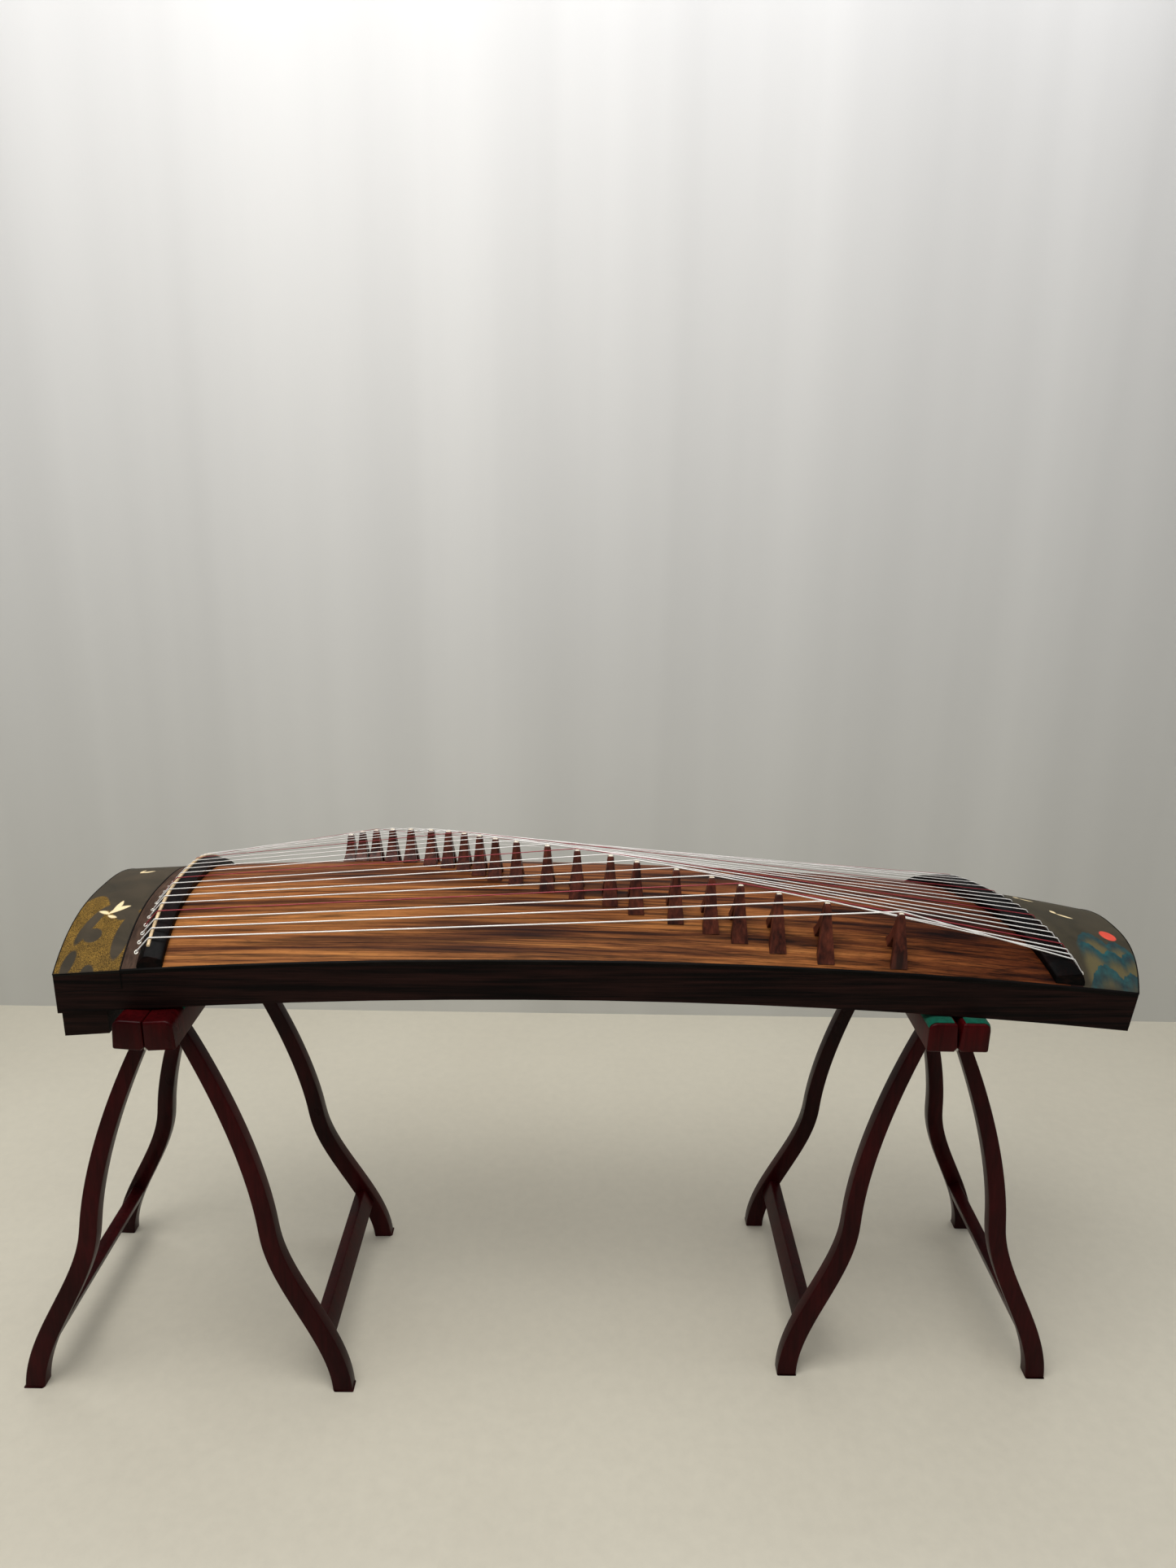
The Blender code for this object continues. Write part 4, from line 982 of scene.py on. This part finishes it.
def string_path(number):
    """From pin to tail hole: points 4, 5 and 6 rest on bone, bridge and tail nut."""
    radius = string_radius(number)
    y, end_y = head_y(number), tail_y(number)
    pin_x, _, seat_z = pin_place(number)
    hole_z = top_z(HOLE_X, y)
    bone_z = top_z(BONE_X, y) + BONE_TOP
    middle_x, middle_y = bridge_x(number), bridge_y(number)
    middle_z = top_z(middle_x, middle_y) + bridge_height(number)
    nut_x = crest_x(end_y)
    swell = 1 + NUT_SWELL * (1 - (end_y / half_width(nut_x)) ** 2)
    nut_z = top_z(nut_x, end_y) + NUT_TOP * swell + radius * 1.2
    out_x = nut_x + TAIL_HOLE
    out_z = top_z(out_x, end_y)
    return [
        (pin_x + PIN_RADIUS + radius + 0.0004, y, seat_z + 0.0085),
        (HOLE_X, y, hole_z - 0.014),
        (HOLE_X, y, hole_z + 0.0012),
        (BONE_X - 0.0015, y, bone_z + radius),
        (BONE_X, y, bone_z + radius * 1.2 + 0.0002),
        (middle_x, middle_y, middle_z + radius + 0.0006),
        (nut_x, end_y, nut_z + 0.0008),
        (nut_x + 0.0026, end_y, nut_z - 0.0002),
        (out_x, end_y, out_z + 0.0014),
        (out_x, end_y, out_z - 0.0100),
    ]


for number in range(1, STRINGS + 1):
    path = string_path(number)
    for part, points, fixed in (("head", path[:6], path[4]), ("tail", path[5:], path[6])):
        rings = tube_rings(spaced(rounded(points, reach=0.0035)), string_radius(number))
        obj = make_loft(f"string_{number:02d}_{part}", rings, string_colour(number),
                        slot="string", sharp=70)
        tuple(np.array(fixed) + SHIFT)
        tuple(np.array(path[5]) + SHIFT)
        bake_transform(obj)
        if number == 1 and part == "head":
            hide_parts("string_set")


# ---------------------------------------------------------------- tuning pins
PIN_SHAFT = ((0.0024, -PIN_DEPTH), (PIN_RADIUS, -PIN_DEPTH + 0.001),
             (PIN_RADIUS, 0.0140), (0.0027, 0.0152))    # radius, height
PIN_SQUARE = ((0.00205, 0.0165), (0.00195, 0.0215),
              (0.0018, PIN_RISE - 0.0006), (0.0014, PIN_RISE))    # half side, height
COIL_ANGLE, COIL_START, COIL_RISE = 5 * math.pi, 0.0045, 0.0040


def pin_ring(x, y, z, size, square):
    ring = []
    for angle in turns(24, offset=0.5):
        cos, sin = math.cos(angle), math.sin(angle)
        radius = size / max(abs(cos), abs(sin)) if square else size
        ring.append((x + radius * cos, y + radius * sin, z))
    return ring


def pin_coil_rings(x, y, z, radius):
    """The string's end wound round the pin."""
    rings = []
    up = np.array([0.0, 0.0, 1.0])
    for angle in np.linspace(0.0, COIL_ANGLE, 61):
        outward = np.array([math.cos(angle), math.sin(angle), 0.0])
        height = z + COIL_START + COIL_RISE * angle / COIL_ANGLE
        centre = np.array([x, y, height]) + (PIN_RADIUS + radius) * outward
        rings.append(ring_round(centre, radius, outward, up, 6))
    return rings


for number in range(1, STRINGS + 1):
    name = f"tuning_pin_{number:02d}"
    x, y, z = pin_place(number)
    rings = [pin_ring(x, y, z + height, size, square)
             for profile, square in ((PIN_SHAFT, False), (PIN_SQUARE, True))
             for size, height in profile]
    make_loft(f"{name}_body", rings, STEEL, name, "steel", replaces=(name,))
    make_loft(f"{name}_coil", pin_coil_rings(x, y, z, string_radius(number)),
              string_colour(number), name, "string", sharp=70)


# ---------------------------------------------------------------- trestles
# Each half is drawn with the hinge pin at x = z = 0 and opening towards +X; place() moves
# it to the body's axes. `full` is a leg's length, from the hinge down to the floor.
BEAM_LIFT = BEAM_TALL - PIN_ABOVE
BEAM_LOWER_ROUND = 0.003
BEAM_INNER_X = 0.0004 + BEAM_LIFT * INNER_SLOPE         # inner face at the beam's top
BEAM_ENDS = ((0.0, 0.0030), (0.0006, 0.0015), (0.0016, 0.0005), (0.0032, 0.0))    # y in, inset
LEG_ABOVE, LEG_BELOW, FOOT_LENGTH = 0.014, 0.03, 0.03
FELT_THICK, FELT_MARGIN, FELT_WRAP = 0.0026, 0.004, math.radians(74)


def leg_centre(depth, full):
    scale = full / LEG_DRAWN
    bend = min(1.0, max(0.0, depth / (LEG_BEND_DEPTH * scale)))
    flare = smooth_step(LEG_FLARE_DEPTH * scale, full, depth)
    return LEG_TOP_X + LEG_REACH * (1 - (1 - bend) ** 1.65) + LEG_FLARE * flare


def leg_width(depth, full):
    return LEG_TOP_WIDE + LEG_GROWS * max(0.0, depth / full) ** 0.55


def rounded_rectangle(half_a, half_b, radius, per=4):
    out = []
    for sign_a, sign_b, start in ((1, 1, 0), (-1, 1, 90), (-1, -1, 180), (1, -1, 270)):
        for k in range(per + 1):
            angle = math.radians(start + 90 * k / per)
            out.append((sign_a * (half_a - radius) + radius * math.cos(angle),
                        sign_b * (half_b - radius) + radius * math.sin(angle)))
    return out


def arc(centre_x, centre_z, radius, start, sweep, steps):
    angles = [start + sweep * k / steps for k in range(steps + 1)]
    return [(centre_x + radius * math.cos(angle), centre_z + radius * math.sin(angle))
            for angle in angles]


def shoulder(sweep):
    """The beam's rounded upper outer edge, from the given angle outwards."""
    return BEAM_HALF - BEAM_ROUND, BEAM_LIFT - BEAM_ROUND, BEAM_ROUND, *sweep, 8


def build_beam(name, body, place, y_start, y_stop, ease):
    """Rounded outer shoulder, eased inner edge, soft ends."""
    right = math.pi / 2
    section = [(0.0052, -PIN_ABOVE), (BEAM_HALF - BEAM_LOWER_ROUND, -PIN_ABOVE)]
    section += arc(BEAM_HALF - BEAM_LOWER_ROUND, -PIN_ABOVE + BEAM_LOWER_ROUND,
                   BEAM_LOWER_ROUND, -right, right, 3)
    section += arc(*shoulder((0.0, right)))
    section += arc(BEAM_INNER_X + ease, BEAM_LIFT - ease, ease, right, right, 5)
    section.append((0.0004 + 0.0045 * INNER_SLOPE, 0.0045))
    middle_x, middle_z = BEAM_HALF / 2, BEAM_LIFT / 2
    stations = [(y_start + into, inset) for into, inset in BEAM_ENDS]
    stations += [(y_stop - into, inset) for into, inset in BEAM_ENDS[::-1]]
    rings = [[(blend_of(middle_x, x, 1 - inset / middle_x), y,
               blend_of(middle_z, z, 1 - inset / middle_z)) for x, z in section]
             for y, inset in stations]
    make_loft(f"{name}_beam", place(rings), BEAM, body, "stand_wood", sharp=50,
              replaces=(f"{body}_frame",))


def build_leg(name, body, place, y_face, splay, full):
    """A bent leg whose sections stand square to its centre line."""
    rings = []
    step = 0.001
    for depth in [*np.linspace(-LEG_ABOVE, full, 72), full + LEG_BELOW]:
        on_leg = min(depth, full)
        x = leg_centre(on_leg, full)
        slope = 0.0
        if depth < full:
            slope = (leg_centre(min(depth + step, full), full)
                     - leg_centre(depth - step, full)) / (2 * step)
            if depth > full - FOOT_LENGTH:
                slope *= (full - depth) / FOOT_LENGTH * 0.7 + 0.3
        norm = math.hypot(1, slope)
        ring = []
        for a, b in rounded_rectangle(leg_width(depth, full) / 2, LEG_THICK / 2, 0.0024):
            z = -depth + a * slope / norm
            ring.append((x + a / norm, y_face + LEG_THICK / 2 + b + splay * (z + full), z))
        rings.append(ring)
    make_loft(name, place(rings), STAND, body, "stand_wood", sharp=50)


def build_rail(name, body, place, y_front, full):
    """The leaning rail between the two legs."""
    depth = full - RAIL_Z
    x = leg_centre(depth, full) - 0.004
    tuck = LEG_THICK / 2 + LEG_SPLAY * RAIL_Z
    cos, sin = math.cos(RAIL_LEAN), math.sin(RAIL_LEAN)
    section = rounded_rectangle(RAIL_WIDE / 2, RAIL_TALL / 2, 0.0022)
    rings = [[(x + a * cos - b * sin, y, -depth + a * sin + b * cos) for a, b in section]
             for y in np.linspace(y_front + tuck, y_front + STAND_DEPTH + LEG_THICK - tuck, 9)]
    make_loft(f"{name}_rail", place(rings), STAND, body, "stand_wood", sharp=50)


def build_felt(name, body, place, y_start, y_stop, ease):
    """A strip along the beam's top and shoulder, pressed down by the instrument."""
    curve = arc(*shoulder((math.pi / 2, -FELT_WRAP)))
    inner_x = BEAM_INNER_X + max(ease, 0.004)
    line = [(inner_x + (curve[0][0] - inner_x) * k / 8, BEAM_LIFT) for k in range(8)] + curve
    under, over = [], []
    for y in np.linspace(y_start, y_stop, 90):
        low_row, high_row = [], []
        for k, (x, z) in enumerate(line):
            # how far the surface leans outwards: 0 on the flat, 1 on the outer side
            outward = max(0.0, min(1.0, (x - (BEAM_HALF - BEAM_ROUND)) / BEAM_ROUND))
            thick = FELT_THICK * min(1.0, (len(line) - 1 - k) / 2 + 0.35) * min(1.0, k + 0.5)
            thick *= min(1.0, min(y - y_start, y_stop - y) / 0.004 + 0.4)
            low_row.append((x, y, z - 0.0004))
            high_row.append((x + thick * outward, y,
                             z + thick * math.sqrt(max(0.0, 1 - outward * outward))))
        under.append(low_row)
        over.append(high_row)
    under, over = place(under), place(over)
    x, y, z = over[..., 0], over[..., 1], over[..., 2]
    covered = np.abs(y) < half_width(x) + 0.003
    ceiling = edge_z(x) - SIDE_HEIGHT - GAP
    over[..., 2] = np.where(covered, np.minimum(z, ceiling), z)
    rows, columns = over.shape[:2]
    below = rows * columns
    top = grid_faces(rows, columns)
    rim = grid_rim(rows, columns)
    faces = top + skirt_faces(rim, [below + i for i in rim])
    faces += [(below + a, below + d, below + c, below + b) for a, b, c, d in top]
    verts = np.concatenate([over.reshape(-1, 3), under.reshape(-1, 3)])
    make(f"{name}_felt", verts, faces, FELT, body, sharp=50)


def build_trestle(which, x, front, lean, ease, felt):
    hinge_z = centre_of(f"{which}_stand_hinge_pin").z
    cos, sin = math.cos(lean), math.sin(lean)
    full = hinge_z
    for _ in range(6):    # the tilted leg's length depends on its own reach
        full = (hinge_z + sin * leg_centre(full, full)) / cos
    y_start = front - BEAM_PROUD
    y_stop = front + STAND_DEPTH + LEG_THICK + BEAM_PROUD
    for side, word in ((-1, "left"), (1, "right")):
        name, body = f"{which}_{word}", f"{which}_stand_{word}"

        def place(points):
            """Tilt about the hinge, mirror to this side and keep above the floor."""
            points = np.array(points, float)
            out, along, up = points[..., 0], points[..., 1], points[..., 2]
            return np.stack([side * (out * cos - up * sin) + x, along,
                             np.maximum(out * sin + up * cos + hinge_z, 0.0)], -1)

        build_beam(name, body, place, y_start, y_stop, ease)
        build_leg(f"{name}_front_leg", body, place, front, LEG_SPLAY, full)
        build_leg(f"{name}_back_leg", body, place, front + STAND_DEPTH, -LEG_SPLAY, full)
        build_rail(name, body, place, front, full)
        build_felt(name, body, place, y_start + felt, y_stop - FELT_MARGIN, ease)


for which, sizes in STANDS.items():
    build_trestle(which, **sizes)


# ---------------------------------------------------------------- floor and backdrop
STAGE_HALF, FLOOR_Z = 9, -0.0005
BACKDROP_Y, BACKDROP_FOOT, BACKDROP_TOP = 1.09, -0.01, 6.0


def stage_sheet(name, near, far, material):
    """A wide sheet between two lines along X, each given as (y, z)."""
    verts = [(-STAGE_HALF, *near), (STAGE_HALF, *near), (STAGE_HALF, *far), (-STAGE_HALF, *far)]
    make(name, verts, [(0, 1, 2, 3)], material, sharp=80, outward=False)


stage_sheet("floor", (-STAGE_HALF, FLOOR_Z), (STAGE_HALF, FLOOR_Z), floor_paint())
stage_sheet("backdrop", (BACKDROP_Y, BACKDROP_FOOT), (BACKDROP_Y, BACKDROP_TOP),
            backdrop_cloth())

# ---------------------------------------------------------------- world, lights and camera
scene = bpy.context.scene


def build_world():
    """Light from above and behind; the camera itself sees one even level."""
    world = bpy.data.worlds.new("studio")
    scene.world = world
    world.use_nodes = True
    sky = NodeTree(world.node_tree)
    background = world.node_tree.nodes["Background"]
    direction = sky.node("TexCoord").outputs["Generated"]
    axes = sky.node("SeparateXYZ", {0: direction}).outputs
    # height plus a share of the way back
    raised = sky.node("Math", {0: axes[1], 1: 0.45, 2: axes[2]}, operation="MULTIPLY_ADD")
    level = sky.between(raised.outputs[0], low=-0.25, high=0.85, to_low=0.10, to_high=0.85)
    camera_ray = sky.node("LightPath").outputs["Is Camera Ray"]
    strength = sky.node("Mix", {0: camera_ray, 2: level, 3: 0.72}).outputs[0]
    sky.put(background.inputs[0], (0.96, 0.975, 1.0))
    sky.put(background.inputs[1], strength)


def area_light(name, at, target, size, power, colour):
    data = bpy.data.lights.new(name, "AREA")
    data.shape = "RECTANGLE"
    data.size, data.size_y = size
    data.energy = power
    data.color = colour
    obj = bpy.data.objects.new(name, data)
    scene.collection.objects.link(obj)
    obj.location = Vector(at)
    obj.rotation_euler = (Vector(target) - Vector(at)).to_track_quat("-Z", "Y").to_euler()
    obj.visible_camera = False


def build_camera(at, yaw, pitch, roll, lens):
    """Looks towards +Y; yaw turns to +X and pitch looks down."""
    forward = Vector((math.sin(yaw) * math.cos(pitch), math.cos(yaw) * math.cos(pitch),
                      -math.sin(pitch)))
    right = Vector((math.cos(yaw), -math.sin(yaw), 0))
    up = right.cross(forward)
    across = right * math.cos(roll) + up * math.sin(roll)
    upward = -right * math.sin(roll) + up * math.cos(roll)
    data = bpy.data.cameras.new("camera")
    data.sensor_width = 36
    data.lens = lens
    data.clip_start, data.clip_end = 0.05, 60
    camera = bpy.data.objects.new("camera", data)
    scene.collection.objects.link(camera)
    matrix = Matrix((across, upward, -forward)).transposed().to_4x4()
    matrix.translation = Vector(at) + Vector(SHIFT.tolist())
    camera.matrix_world = matrix
    scene.camera = camera


build_world()
area_light("ceiling", at=(-0.5, -0.9, 3.1), target=(0.05, 0.25, 0.3), size=(2.6, 1.6),
           power=62, colour=(1.0, 0.985, 0.955))
area_light("back_top", at=(0.1, 0.85, 3.0), target=(0.0, -0.2, 0.5), size=(3.4, 0.5),
           power=16, colour=(0.97, 0.98, 1.0))
build_camera(at=(-0.0381, -1.6422, 1.5008), yaw=math.radians(0.32), pitch=math.radians(16.83),
             roll=math.radians(0.976), lens=24.884276)
scene.view_settings.view_transform = "Standard"

bpy.context.view_layer.update()
